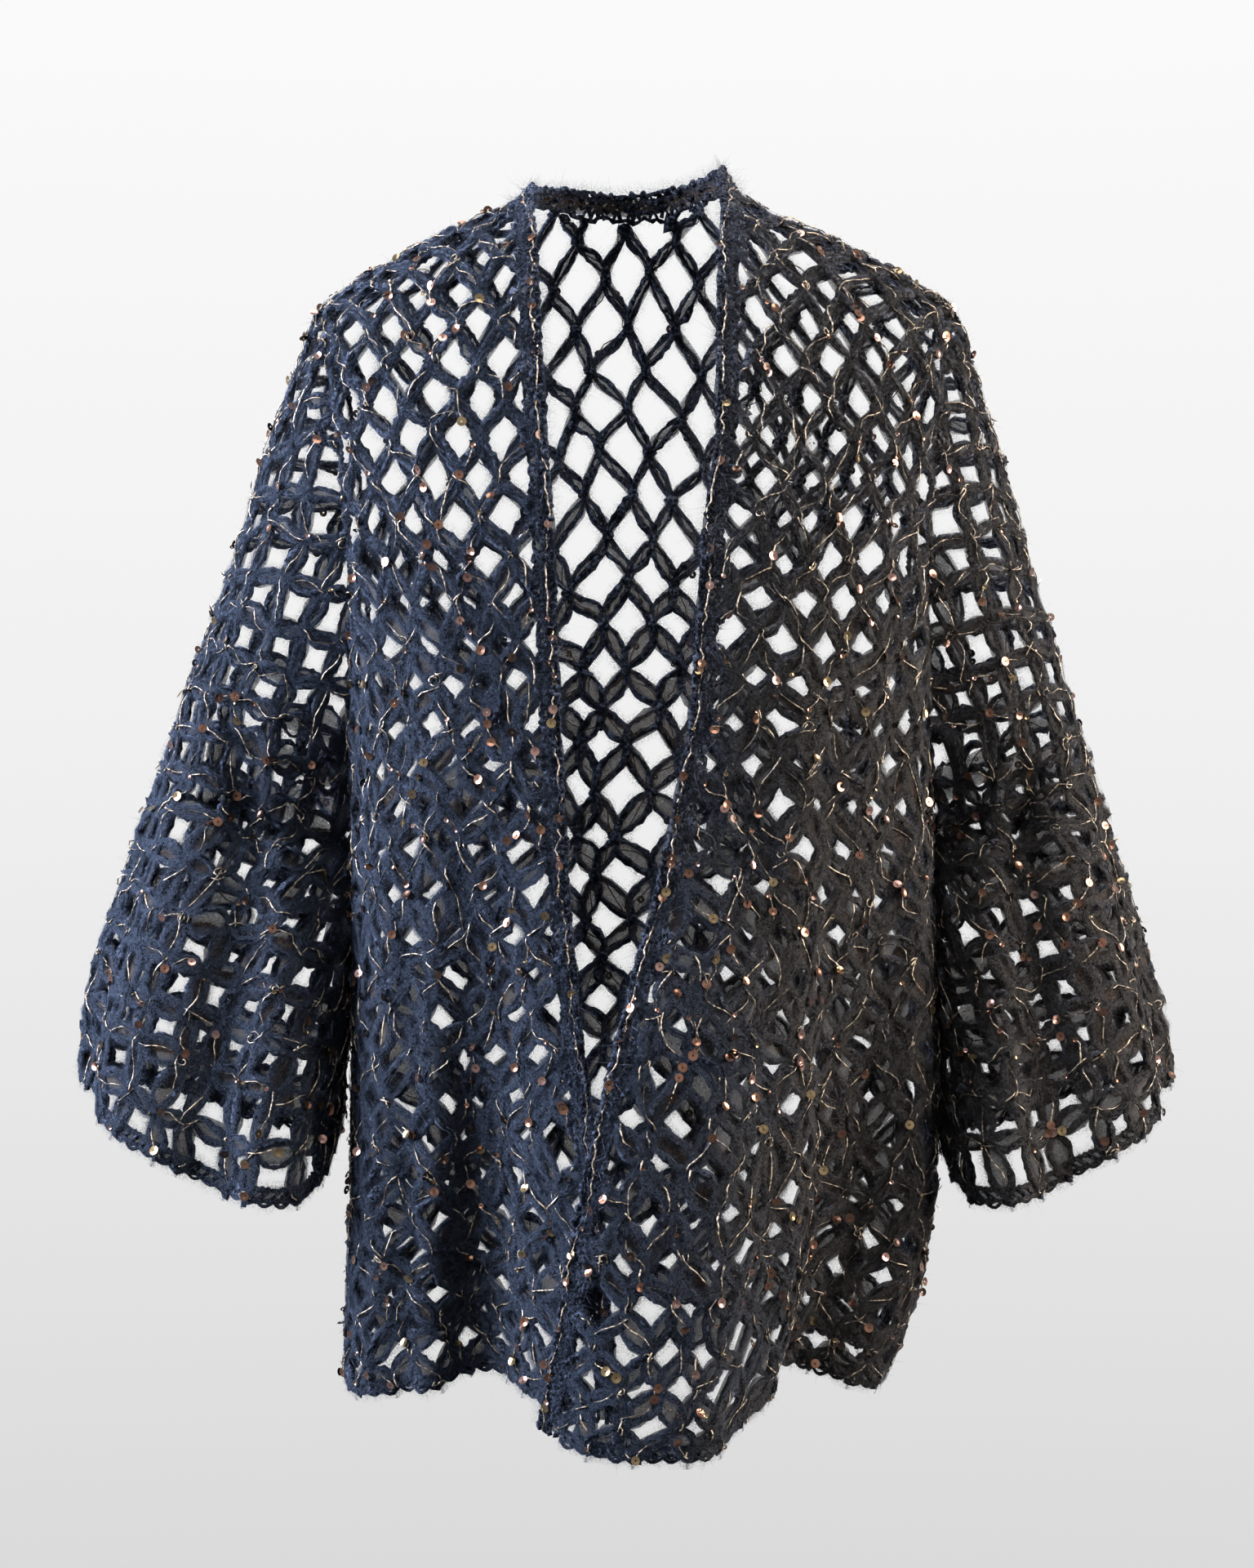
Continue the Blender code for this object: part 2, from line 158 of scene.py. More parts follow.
# Folds, as in the solids, and then the smaller creases between them. angle: degrees from the front's middle
# or from a sleeve's ridge. half: half its width. depth: how far it stands out. start, full: where it begins
# and where it has its full depth, as a run on the body and as a share of its length on a sleeve.
FOLD_SOFTNESS = 0.8
Fold = namedtuple("Fold", "angle half depth start full")
BODY_FOLDS = (
    Fold(-62, 20, 12, 400, 800),
    Fold(-27, 16, -26, 330, 830),
    Fold(5, 20, 27, 420, 830),
    Fold(41, 19, -28, 360, 820),
    Fold(70, 14, 9, 330, 640),
    Fold(112, 17, 13, 430, 800),
    Fold(135, 14, -15, 330, 830),
    Fold(156, 15, 17, 380, 830),
    Fold(177, 14, -13, 260, 800),
    Fold(199, 16, 18, 400, 840),
    Fold(222, 14, -16, 330, 800),
    Fold(246, 15, 12, 430, 830),
)
BODY_CREASES = (
    Fold(-46, 9, -4, 130, 420),
    Fold(-78, 8, 4, 260, 600),
    Fold(-40, 7, 4, 560, 800),
    Fold(18, 8, -5, 560, 820),
    Fold(27, 8, 4, 190, 470),
    Fold(55, 9, -4, 150, 420),
    Fold(84, 8, 4, 300, 640),
    Fold(122, 8, 4, 250, 560),
    Fold(146, 7, 3, 480, 760),
    Fold(165, 8, -4, 130, 400),
    Fold(191, 9, 4, 150, 450),
    Fold(210, 8, -4, 560, 820),
    Fold(231, 8, -4, 200, 500),
)
SLEEVE_FOLDS = (
    Fold(-24, 18, -5, 0.45, 0.95),
    Fold(-58, 24, 11, 0.35, 0.95),
    Fold(-98, 20, -9, 0.40, 0.90),
    Fold(-132, 22, 8, 0.45, 0.95),
    Fold(28, 18, -6, 0.40, 0.95),
    Fold(64, 24, 10, 0.30, 0.90),
    Fold(104, 20, -9, 0.40, 0.95),
    Fold(136, 20, 7, 0.45, 0.95),
)
SLEEVE_CREASES = (
    Fold(-78, 10, 3, 0.20, 0.60),
    Fold(-14, 9, 3, 0.30, 0.70),
    Fold(45, 10, -3, 0.15, 0.50),
    Fold(86, 9, 3, 0.25, 0.70),
    Fold(120, 9, -3, 0.20, 0.60),
    Fold(-116, 9, 3, 0.20, 0.60),
)

# Measures of the net. A cell is a diamond on the body, and on a sleeve a square that runs along it.
# down: mm of cloth from the top. width: of a cell there, narrower where the cloth bunches as it hangs.
Cell = namedtuple("Cell", "down width")
FRONT_CELLS = (
    Cell(0, 31.0),
    Cell(250, 30.0),
    Cell(400, 25.0),
    Cell(650, 25.0),
    Cell(770, 27.0),
    Cell(850, 28.0),
)
BACK_CELLS = (
    Cell(0, 35.0),
    Cell(850, 35.0),
)
SLEEVE_CELLS = (
    Cell(0, 28.0),
    Cell(250, 27.0),
    Cell(560, 25.5),
)
CELL_ROW = 26.0
BACK_ROW = 29.3       # the back is stretched a little across the shoulders, so its cells are larger
# An upright column of each front's net: in cells from the middle of the garment on the chest, and lower down
# along the middle of a large fold, at its angle in degrees. The change from one to the other, in mm down.
COLUMN_CELLS = {"right": 3.5, "left": 5.0}
COLUMN_FOLD = {"right": 27.0, "left": 41.0}
COLUMN_CHANGE = (420.0, 640.0)
# The rows of the net lie level across the chest and the back, below a sloping shoulder.
# How far across a row is at its own height.
FRONT_LEVEL = 20.0
BACK_LEVEL = 107.0
LEVEL_RUNS = (0.0, 140.0, 400.0, 560.0)
LEVEL_GAIN = 1.25
EVEN_COLUMNS = 61
EVEN_ROWS = 161
UNEVEN = 2.2          # how far a knot strays from the even net, and how much farther lower down
UNEVEN_MORE = 1.4
UNEVEN_RUNS = (300.0, 480.0)
WANDER = 3.0          # how far whole parts of the net stray, in slow waves
WANDER_LENGTH = 150.0
WANDER_RATES = (0.6, 0.8, 0.7)  # of the slower waves, as shares
STRAND = 2.45         # radius of a strand
LUMP = 0.45           # how much thicker and thinner it is from lump to lump, how far the lumps stray
LUMP_ASIDE = 1.1
BEAD = 0.13           # and how much thicker every other small bead of it is
STRAND_LIMITS = (0.5, 1.6)  # least and most thickness of a strand in all, as shares
STRAND_ENDS = 0.85    # thickness at its ends, as a share, and how much more there is in its middle
STRAND_MIDDLE = 0.2
STRAND_HEIGHT = 0.4   # its height over the cloth, the mean and spread of its bow outwards, and its strays
STRAND_BOW = (0.4, 0.8)
STRAND_STRAY = 0.8
# Sides of a strand's section: of a fine one or one in the net, of one in plain sight, and of a lump
FINE_SIDES = 3
PLAIN_SIDES = 4
LUMP_SIDES = 5
# down: mm of cloth from the top. leaf: half the width of a love-knot loop, between its two strands.
# haze: how thick the haze of fibres along a strand is. The looser, bunched cloth lower down has both fuller.
# strand: how thick its strands are, as a share. filling: how thick the fibres inside it are.
# upright: how steeply a loop of the body leaves its knots, where the cloth's weight pulls on it.
# knot: how much larger the knots are.
Fullness = namedtuple(
    "Fullness", "down body_leaf body_haze sleeve_leaf sleeve_haze strand filling upright knot"
)
FULLNESS = (
    Fullness(0, 1.8, 0.36, 2.6, 0.40, 0.80, 0.74, 0.75, 1.05),
    Fullness(250, 2.3, 0.42, 4.0, 0.52, 0.86, 0.80, 0.85, 1.05),
    Fullness(400, 5.0, 0.60, 5.4, 0.64, 1.00, 1.00, 0.90, 1.05),
    Fullness(620, 5.2, 0.64, 5.7, 0.66, 1.00, 1.00, 0.80, 1.00),
    Fullness(850, 4.8, 0.62, 5.7, 0.66, 1.00, 1.00, 0.50, 1.00),
)
LEAF_STEPS = 10
SHORTEST_LEAF = 4.0
CUT_ROUNDS = 12       # halvings that find where a loop crosses its panel's edge
USUAL_LEAF = 28.0     # length of a loop with its full width, and the shares that short and long ones have
LEAF_SHARES = (0.45, 1.1)
LEAF_VARIES = (0.65, 1.3)  # from loop to loop, and from one strand of a loop to the other
BULGE_VARIES = (0.85, 1.2)
LEAF_DRIFT = 0.7      # how far a loop sways one way and then the other
BOW_POWER = 0.9
KNOT = (3.9, 5.2, 2.8)  # half sizes of a knot, across, down and through the cloth
KNOT_VARIES = (0.8, 1.2)
KNOT_ROUGH = 0.26
KNOT_HEIGHT = 0.3
KNOT_HAZE_DOWN = (-7.0, 0.0, 7.0)  # places of its haze down the cloth, and half its width at each
KNOT_HAZE_HALF = (4.0, 7.5, 4.0)
KNOT_HAZE_HEIGHT = 1.4
KNOT_HAZE_PEAK = 0.5

# Thread and sequins
THREAD = 0.52
THREAD_ASIDE = (1.5, 4.6)  # how far it swings from the middle of a loop as it winds round it
THREAD_TURNS = (0.5, 1.2)
THREAD_HEIGHT = 2.5
THREAD_LIFT = 1.9
THREAD_STRAY = 0.4    # its small strays, across and in height
THREAD_HEIGHT_STRAY = 0.3
THREAD_SPAN = (-0.06, 1.06)  # from a little before one knot to a little past the next
THREAD_STEPS = 8
THREAD_SHARE = 0.84   # share of the loops with the thread round them
CURL_SHARE = 0.11     # share of the knots with a loose curl of thread
CURL_RADIUS = 3.0
CURL_VARIES = (0.7, 1.4)
CURL_START = 0.45     # its size where it starts, as a share, and how much it opens
CURL_GROWTH = 0.75
CURL_TURNS = 1.15
CURL_HEIGHT = 3.6
CURL_RISE = 1.2
CURL_STEPS = 9
SEQUINS_A_LEAF = 0.62
BAND_SEQUIN_STEP = 21.0
SEQUIN_SIDES = 10
SEQUIN_HOLE = 0.6
SEQUIN_CUP = 0.35
SEQUIN_TILT = 0.42
SEQUIN_VARIES = (0.92, 1.06)
SEQUIN_HANG = (0.2, 0.8)  # how far it hangs below the thread, in radii
SEQUIN_HEIGHT = 0.8
# share: of all sequins. radius: in mm. tint: place on the sequins' scale of shades.
Sequin = namedtuple("Sequin", "share radius tint")
SEQUINS = (
    Sequin(0.28, 3.00, 0.10),
    Sequin(0.18, 1.60, 0.10),
    Sequin(0.15, 2.90, 0.37),
    Sequin(0.09, 1.50, 0.37),
    Sequin(0.12, 3.00, 0.63),
    Sequin(0.08, 1.50, 0.63),
    Sequin(0.10, 2.80, 0.90),
)

# Fibres of the brushed yarn. A mohair fibre is about 0.03 mm thick, too fine to show, so it is drawn wider.
HALO_A_METRE = 790    # fibres on a metre of strand
HALO_WIDTH = 0.15
HALO_LENGTH = (3.0, 13.0)
HALO_SPREAD = (3.0, 1.7)  # shape and scale of the spread of lengths
LEAN_OUT = (0.35, 0.45)  # how they lean: mean and spread outwards, and spread sideways and along
LEAN_ASIDE = 1.0
LEAN_ALONG = 0.9
SHORT_OF_END = 1.001  # keeps a fibre's root before the last point of its strand
FIBRE_SHADES = 2      # power that makes most fibres dark and few pale
FUZZ_STEPS = 6        # steps of a short length of strand that fibres are laid on
HAZE_BEYOND = 5.6     # how far the soft haze of finer fibres reaches past a strand
HAZE_VARIES = (0.8, 1.2)
HAZE_CROWN = 0.6      # how far the middle of a strip of haze stands over its sides
HAZE_STEPS = 3
FILL_RIM = 0.6        # how thick the filling of a loop still is at its sides
HAZE_BEHIND = -0.7    # heights of the haze that fills a loop, and of the thin one along its strands
HAZE_ABOVE = 2.0

# Band and edge rows
# across: mm from the band's open edge. wave: how far the row strays. step: from one slanted post to the next,
# between the row before and this one, or 0.
BandRow = namedtuple("BandRow", "across wave step")
BAND_ROWS = (
    BandRow(1.8, 0.7, 0.0),
    BandRow(4.8, 0.7, 6.0),
    BandRow(7.8, 0.9, 6.0),
    BandRow(12.0, 1.3, 7.5),
)
BAND_WAVES = (37.0, 101.0)  # lengths of a row's slow waves, and its finer strays as a share of its wave
BAND_JITTER = 0.5
BAND_HEIGHT_STRAY = 0.9
BAND_STRAND = 1.8
BAND_VARIES = (0.6, 1.5)
BAND_STEP = 2.5
BAND_POST = 1.45
BAND_LEAN = 2.6       # how far along a post slants
POST_VARIES = (0.7, 1.4)
POST_HEIGHT = 0.9
POST_STEPS = 2
SPACING_STRAY = 0.2   # of posts and lumps, as a share of the step between them
BOBBLE = 8.5          # from one small lump to the next along the band's open edge
BOBBLE_SIZE = 2.7
BOBBLE_VARIES = (0.6, 1.1)
BOBBLE_CROWN = 1.05
BOBBLE_STRAY = 0.5
BOBBLE_HEIGHT = 0.6
BOBBLE_STEPS = 4
# across: the middle of a strip of haze. half: half its width. lift: its height. peak, rim: how thick it is
# in its middle, and at its sides as a share of that.
BandHaze = namedtuple("BandHaze", "across half lift peak rim")
BAND_HAZE = (
    BandHaze(6.5, 6.5, -1.5, 1.0, FILL_RIM),
    BandHaze(0.0, 8.5, 0.0, 0.36, 0.0),
    BandHaze(9.0, 8.0, 2.2, 0.44, 0.0),
)
BLUR_EVERY = 3        # steps of a row to one of the haze
BAND_THREAD_AT = 4.2
BAND_THREAD_STEP = 4.0
BAND_THREAD_MARGIN = 2.0
BAND_THREAD_SWAY = 2.2  # how far it sways, in two waves, and its finer strays
BAND_THREAD_SWAYS = (19.0, 61.0)
BAND_THREAD_STRAY = 0.8
BAND_THREAD_HEIGHT = 2.3
BAND_THREAD_DIP = 1.2  # how far it dips, in waves that are now longer and now shorter
BAND_THREAD_DIPS = (7.0, 31.0)
BAND_FUZZ = 2.8       # how much thicker its fibres stand than on the net, and how much longer they are
BAND_FUZZ_LENGTH = 1.6
CORD_STRAND = 1.25
CORD_VARIES = (0.85, 1.25)
CORD_TWIST = 9.0
CORD_TURN_STRAY = 0.3
CORD_STEP = 3.6
LEAST_CORD_STEPS = 4
CORD_HAZE_HEIGHT = 1.0
CORD_HAZE_PEAK = 0.6
SCALLOP = 11.0
SCALLOP_DROP = 3.2
SCALLOP_VARIES = (0.6, 1.3)
SCALLOP_STRAND_VARIES = (0.85, 1.2)
SCALLOP_STEPS = 5
EDGE_ROW = 7.0        # height of the narrow row along hem and cuffs
EDGE_STITCH = 6.5
EDGE_STRAY = 0.8
EDGE_STEPS = 3
EDGE_HEIGHT = 0.9
EDGE_POST = 1.5
EDGE_VARIES = (0.8, 1.25)
EDGE_FILLING = 0.9    # how thick the fibres between its stitches are
EDGE_POINTS = 160

# Points along the seams, and how far below the top the shoulder seam lies
SIDE_POINTS = 300
ARMHOLE_POINTS = 180
SHOULDER_POINTS = 60
SLEEVE_POINTS = 80
SHOULDER_DOWN = 1.0

# Steps down and across in which a panel's cloth is measured
ROWS = 170
ACROSS = 240


def smooth_value(rows, column, at):
    """A table column at any place along the table's first column, on a curve that never overshoots."""
    places = np.array([row[0] for row in rows], float)
    values = np.array([getattr(row, column) for row in rows], float)
    steps = np.diff(places)
    slopes = np.diff(values) / steps
    before, after = slopes[:-1], slopes[1:]
    same_way = before * after > 0
    inner = np.where(same_way, 2 * before * after / np.where(same_way, before + after, 1), 0)
    tangents = np.concatenate([slopes[:1], inner, slopes[-1:]])
    at = np.clip(np.asarray(at, float), places[0], places[-1])
    index = np.clip(np.searchsorted(places, at, side="right") - 1, 0, len(steps) - 1)
    width = steps[index]
    share = (at - places[index]) / width
    rest = 1 - share
    return (values[index] * (1 + 2 * share) * rest ** 2
            + values[index + 1] * share ** 2 * (3 - 2 * share)
            + tangents[index] * width * share * rest ** 2
            - tangents[index + 1] * width * share ** 2 * rest)


def ramp(value, low, high):
    """0 below low, 1 above high, and smooth between."""
    share = np.clip((value - low) / (high - low), 0, 1)
    return share * share * (3 - 2 * share)


def fold_depth(folds, degrees, along):
    """The sum of the folds at a place round a ring, each a smooth bump that grows along the cloth."""
    total = 0 * (degrees + along)
    for fold in folds:
        apart = (degrees - fold.angle + 180) % 360 - 180
        bump = ramp(1 - np.abs(apart) / fold.half, 0, FOLD_SOFTNESS)
        total = total + fold.depth * bump * ramp(along, fold.start, fold.full)
    return total


def signed_power(value, power):
    """A power of a value's size, with the value's own sign."""
    return np.sign(value) * np.abs(value) ** power


def unit(vectors):
    """Vectors of length 1."""
    return vectors / np.maximum(np.linalg.norm(vectors, axis=-1, keepdims=True), 1e-9)


def body_surface(angle, run, left_front=False):
    """Points of the body ring at an angle in radians and a run in mm."""
    section = {name: smooth_value(SECTIONS, name, run) for name in Section._fields[1:]}
    sine, cosine = np.sin(angle), np.cos(angle)
    square = section["square"]
    half = np.where(sine > 0, section["half_left"], section["half_right"])
    depth = np.where(cosine > 0, section["front"], section["back"])
    across = signed_power(sine, 2 / SPREAD)
    inward = np.sign(cosine) * np.maximum(1 - np.abs(across) ** square, 0) ** (1 / square)
    shoulder = 1 - ramp(run, 0, SHOULDER_SEAM_REACH)
    x = half * across
    forward = depth * inward + 0.5 * SEAM_GAP * shoulder * np.sign(cosine)
    push = fold_depth(BODY_FOLDS + BODY_CREASES, np.degrees(angle), run)
    sag = push * HEM_SAG * ramp(run, HEM_SAG_START, HEM_RUN)
    if left_front:
        crossing = 1 - ramp(np.degrees(angle), *LAP_ANGLES)
        push = push + LAP * ramp(run, LAP_START, LAP_FULL) * crossing
        sag = sag + LAP_DROP * ramp(run, LAP_START, HEM_RUN) * crossing
    normal_x = signed_power(across, square - 1) / half
    normal_forward = signed_power(inward, square - 1) / np.maximum(depth, 1)
    length = np.hypot(normal_x, normal_forward)
    slope = np.clip((np.abs(x) - NECK_SIDE) / (half - NECK_SIDE), 0, 1) ** SHOULDER_CURVE
    from_neck = np.maximum(np.hypot(x, forward) - NECK_SIDE, 0)
    lean = np.clip(x / NECK_SIDE, -1, 1)
    rise = (NECK_RISE_LEFT + NECK_RISE_RIGHT + lean * (NECK_RISE_LEFT - NECK_RISE_RIGHT)) / 2
    nape = np.clip(-forward / np.maximum(np.hypot(x, forward), 1), 0, 1) ** 2
    rise = rise + (NAPE_RISE - rise) * nape
    reach = NECK_REACH + (NAPE_REACH - NECK_REACH) * nape
    z = section["drop"] + section["fall"] * slope + rise * np.exp(-from_neck / reach) - sag
    x = x + push * normal_x / length
    forward = forward + push * normal_forward / length
    return np.stack([x, SEAM_Y - forward, z], axis=-1)


def angle_at(x, run):
    """The angle at which the front of the ring is x across."""
    half_left = smooth_value(SECTIONS, "half_left", run)
    half_right = smooth_value(SECTIONS, "half_right", run)
    half = np.where(x > 0, half_left, half_right)
    return np.arcsin(signed_power(x / half, SPREAD / 2))


def side_angle(run, depth_column):
    """How far round from the middle a panel reaches: to the armhole's edge, or below it to the side seam."""
    depth = np.maximum(smooth_value(SECTIONS, depth_column, run), LEAST_DEPTH)
    share = np.maximum(smooth_value(ARMHOLE, "share", run), 0.5 * SEAM_GAP / depth)
    square = smooth_value(SECTIONS, "square", run)
    across = (1 - share ** square) ** (1 / square)
    return np.arcsin(across ** (SPREAD / 2))


def back_place(x, behind):
    """The angle and the run of the back over a place in plan, near the shoulders."""
    half = np.where(x > 0, SECTIONS[0].half_left, SECTIONS[0].half_right)
    runs = np.linspace(0, YOKE_RUN, YOKE_STEPS + 1)
    depths = smooth_value(SECTIONS, "back", runs)
    inward = 1.0
    for _ in range(YOKE_ROUNDS):
        run = np.interp(behind / inward, depths, runs)
        square = smooth_value(SECTIONS, "square", run)
        inward = (1 - np.abs(x / half) ** square) ** (1 / square)
    return math.pi - np.arcsin(signed_power(x / half, SPREAD / 2)), run


def sleeve_edge(side, facing, share):
    """The sleeve's edge: along the armhole, then down the seam on the side of the body."""
    column = "front" if facing > 0 else "back"
    runs = np.linspace(SLEEVE_TOP_RUN, UNDERARM_RUN, ARMHOLE_STEPS)
    reach = side_angle(runs, column)
    armhole = body_surface(side * (reach if facing > 0 else math.pi - reach), runs)
    along = np.interp(-smooth_value(SLEEVE_SECTIONS, "height", share), -armhole[:, 2], np.arange(len(runs)))
    along = along + (len(runs) - 1 - along) * ramp(share, UNDERARM_SHARE - UNDERARM_EASE, UNDERARM_SHARE)
    points = np.stack([np.interp(along, np.arange(len(runs)), armhole[:, axis]) for axis in range(3)], -1)
    growth = np.ptp(SLEEVE_STANDOFF) * ramp(share, STANDOFF_START, UNDERARM_SHARE)
    points[..., 0] += side * (SLEEVE_STANDOFF[0] + growth)
    below = np.clip((share - UNDERARM_SHARE) / (1 - UNDERARM_SHARE), 0, 1)[..., None]
    inner = CUFF_INNER_LEFT if side > 0 else CUFF_INNER_RIGHT
    cuff = np.array([side * inner, CUFF_INNER_Y - 0.5 * facing * SLEEVE_SEAM_GAP, CUFF_INNER_HEIGHT])
    points[..., 1] -= 0.5 * facing * SLEEVE_SEAM_GAP * ramp(share, SLEEVE_SEAM_START, UNDERARM_SHARE)
    return points + (cuff - points) * below


def sleeve_shape(side, around, share):
    """Points of a sleeve without folds. around: -1 at its front edge, 0 at its ridge, 1 at its back edge."""
    reach = np.abs(around)
    rest = 1 - reach
    ridge_weight = (1 + 2 * reach) * rest ** 2
    edge_weight = reach ** 2 * (3 - 2 * reach)
    out = smooth_value(SLEEVE_SECTIONS, "left_out" if side > 0 else "right_out", share)
    ridge_y = SEAM_Y + (CUFF_TIP_Y - SEAM_Y) * share
    ridge = np.stack([side * out, ridge_y, smooth_value(SLEEVE_SECTIONS, "height", share)], -1)
    facing = np.where(around < 0, 1.0, -1.0)
    front_edge, back_edge = sleeve_edge(side, 1, share), sleeve_edge(side, -1, share)
    edge = np.where(facing[..., None] > 0, front_edge, back_edge)
    set_off = smooth_value(SLEEVE_SECTIONS, "outer_swell", share) * reach * rest ** 2
    come_in = smooth_value(SLEEVE_SECTIONS, "inner_swell", share) * reach ** 2 * rest
    closing = ramp(share, *TUBE_CLOSES)
    sag = np.where(facing > 0, CUFF_SAG_FRONT, CUFF_SAG_BACK) * ramp(share, CUFF_SAG_START, 1)
    sag = sag * SAG_PEAK * reach ** 2 * rest
    points = ridge * ridge_weight[..., None] + edge * edge_weight[..., None]
    points[..., 0] += side * come_in * (1 - closing)
    points[..., 1] -= facing * (set_off + come_in * closing)
    points[..., 2] -= sag
    return points


def sleeve_surface(side, around, share):
    """Points of a sleeve with its folds and creases."""
    after, before = around + SLOPE_STEP, around - SLOPE_STEP
    below, above = share + SLOPE_STEP, share - SLOPE_STEP
    round_it = sleeve_shape(side, after, share) - sleeve_shape(side, before, share)
    along = sleeve_shape(side, around, below) - sleeve_shape(side, around, above)
    normal = side * unit(np.cross(along, round_it))
    push = fold_depth(SLEEVE_FOLDS + SLEEVE_CREASES, 180 * around, share)
    return sleeve_shape(side, around, share) + push[..., None] * normal


# A panel is measured in mm of cloth: across from its first or middle line, and down from its top.
# place: points at a place. inside: whether a place is on the panel. length: from its top to its bottom edge.
# reach: for each end across, its distance at a length down. outward: the sign that turns a normal outwards.
# anchor: how far across the net's middle column runs, at a length down. cells, row: the net's cells and
# row height. level: how far across a slanted net's rows are at their own height, or None in a square net.
Panel = namedtuple("Panel", "name place inside length reach outward anchor cells row level")


def travel(points):
    """How far along its line each point of a line lies."""
    steps = np.linalg.norm(np.diff(points, axis=-2), axis=-1)
    return np.concatenate([np.zeros(steps.shape[:-1] + (1,)), np.cumsum(steps, axis=-1)], axis=-1)


def between(table, down, across):
    """A table's value at shares down and across it, straight between its entries."""
    rows, columns = table.shape
    down = np.clip(down, 0, 1) * (rows - 1)
    across = np.clip(across, 0, 1) * (columns - 1)
    top = np.minimum(down.astype(int), rows - 2)
    left = np.minimum(across.astype(int), columns - 2)
    down, across = down - top, across - left
    upper = table[top, left] * (1 - across) + table[top, left + 1] * across
    lower = table[top + 1, left] * (1 - across) + table[top + 1, left + 1] * across
    return upper * (1 - down) + lower * down


def measured(rows, start, end, surface):
    """The cloth's own measure across each row of a surface: the rows' lengths, and a way to place a point."""
    share = np.linspace(0, 1, ACROSS + 1)
    grid = start[:, None] + (end - start)[:, None] * share
    points = surface(grid, np.repeat(rows[:, None], ACROSS + 1, axis=1))
    travelled = travel(points)
    lengths = travelled[:, -1]
    shares = np.stack([np.interp(share * row[-1], row, share) for row in travelled])

    def reach(down):
        return np.interp(down, rows, lengths)

    def place(across, down):
        at = between(shares, down / rows[-1], across / reach(down))
        begin = np.interp(down, rows, start)
        finish = np.interp(down, rows, end)
        return surface(begin + (finish - begin) * at, down)

    return reach, place


def front_panel(side):
    """One front, measured across from its band to its side."""
    hand = "left" if side > 0 else "right"
    rows = np.linspace(0, HEM_RUN, ROWS + 1)
    edge = smooth_value(FRONT_EDGES, hand, rows) + side * (BAND_WIDTH + SEAM_GAP)

    def surface(angle, run):
        return body_surface(angle, run, side > 0)

    reach, place = measured(rows, angle_at(edge, rows), side * side_angle(rows, "front"), surface)
    across = np.linspace(0, 1, ACROSS + 1) * reach(rows)[:, None]
    x = side * place(across, np.repeat(rows[:, None], ACROSS + 1, axis=1))[..., 0]
    column = COLUMN_CELLS[hand] * smooth_value(FRONT_CELLS, "width", rows)
    fold = side * surface(np.full(len(rows), side * math.radians(COLUMN_FOLD[hand])), rows)[:, 0]
    column = column + (fold - column) * ramp(rows, *COLUMN_CHANGE)
    upright = np.array([np.interp(column[row], x[row], across[row]) for row in range(len(rows))])

    def inside(across, down):
        return (across >= 0) & (across <= reach(down)) & (down >= 0) & (down <= HEM_RUN)

    def anchor(down):
        return np.interp(down, rows, upright)

    ends = (lambda down: 0 * down, reach)
    return Panel(f"front_{hand}", place, inside, HEM_RUN, ends, -side, anchor, FRONT_CELLS, CELL_ROW,
                 FRONT_LEVEL)


def two_ways(place_after, place_before):
    """A way to place a point on a panel that is measured both ways from its middle line."""

    def place(across, down):
        after = place_after(np.maximum(across, 0), down)
        before = place_before(np.maximum(-across, 0), down)
        return np.where((across > 0)[..., None], after, before)

    return place


def back_panel():
    """The back, measured both ways from its middle, without the neck."""
    rows = np.linspace(0, HEM_RUN, ROWS + 1)
    middle = np.full(len(rows), math.pi)
    reach_right, place_right = measured(rows, middle, math.pi + side_angle(rows, "back"), body_surface)
    reach_left, place_left = measured(rows, middle, math.pi - side_angle(rows, "back"), body_surface)
    place = two_ways(place_left, place_right)
    neck_margin = BAND_WIDTH + SEAM_GAP

    def inside(across, down):
        points = place(across, np.clip(down, 0, HEM_RUN))
        oval = np.hypot(points[..., 0] / (NECK_SIDE + neck_margin),
                        (points[..., 1] - SEAM_Y) / (NECK_BACK + neck_margin))
        on_cloth = (across >= -reach_right(down)) & (across <= reach_left(down))
        return on_cloth & (down >= 0) & (down <= HEM_RUN) & ((oval >= 1) | (down > YOKE_RUN))

    def anchor(down):
        return smooth_value(BACK_CELLS, "width", down) / 2

    ends = (lambda down: -reach_right(down), reach_left)
    return Panel("back", place, inside, HEM_RUN, ends, 1, anchor, BACK_CELLS, BACK_ROW, BACK_LEVEL)


def sleeve_panel(side):
    """One sleeve, measured both ways from its ridge to its seam."""
    hand = "left" if side > 0 else "right"
    shares = np.linspace(0, 1, ROWS + 1)
    ridge = sleeve_surface(side, 0 * shares, shares)
    length = np.linalg.norm(np.diff(ridge, axis=0), axis=-1).sum()
    rows = shares * length
    ridge_line = np.zeros(len(rows))

    def surface(around, down):
        return sleeve_surface(side, around, down / length)

    reach_front, place_front = measured(rows, ridge_line, ridge_line - 1, surface)
    reach_back, place_back = measured(rows, ridge_line, ridge_line + 1, surface)

    def inside(across, down):
        on_cloth = (across >= -reach_front(down)) & (across <= reach_back(down))
        return on_cloth & (down >= 0) & (down <= length)

    def anchor(down):
        return 0 * down

    place = two_ways(place_back, place_front)
    ends = (lambda down: -reach_front(down), reach_back)
    return Panel(f"sleeve_{hand}", place, inside, length, ends, -side, anchor, SLEEVE_CELLS, CELL_ROW, None)


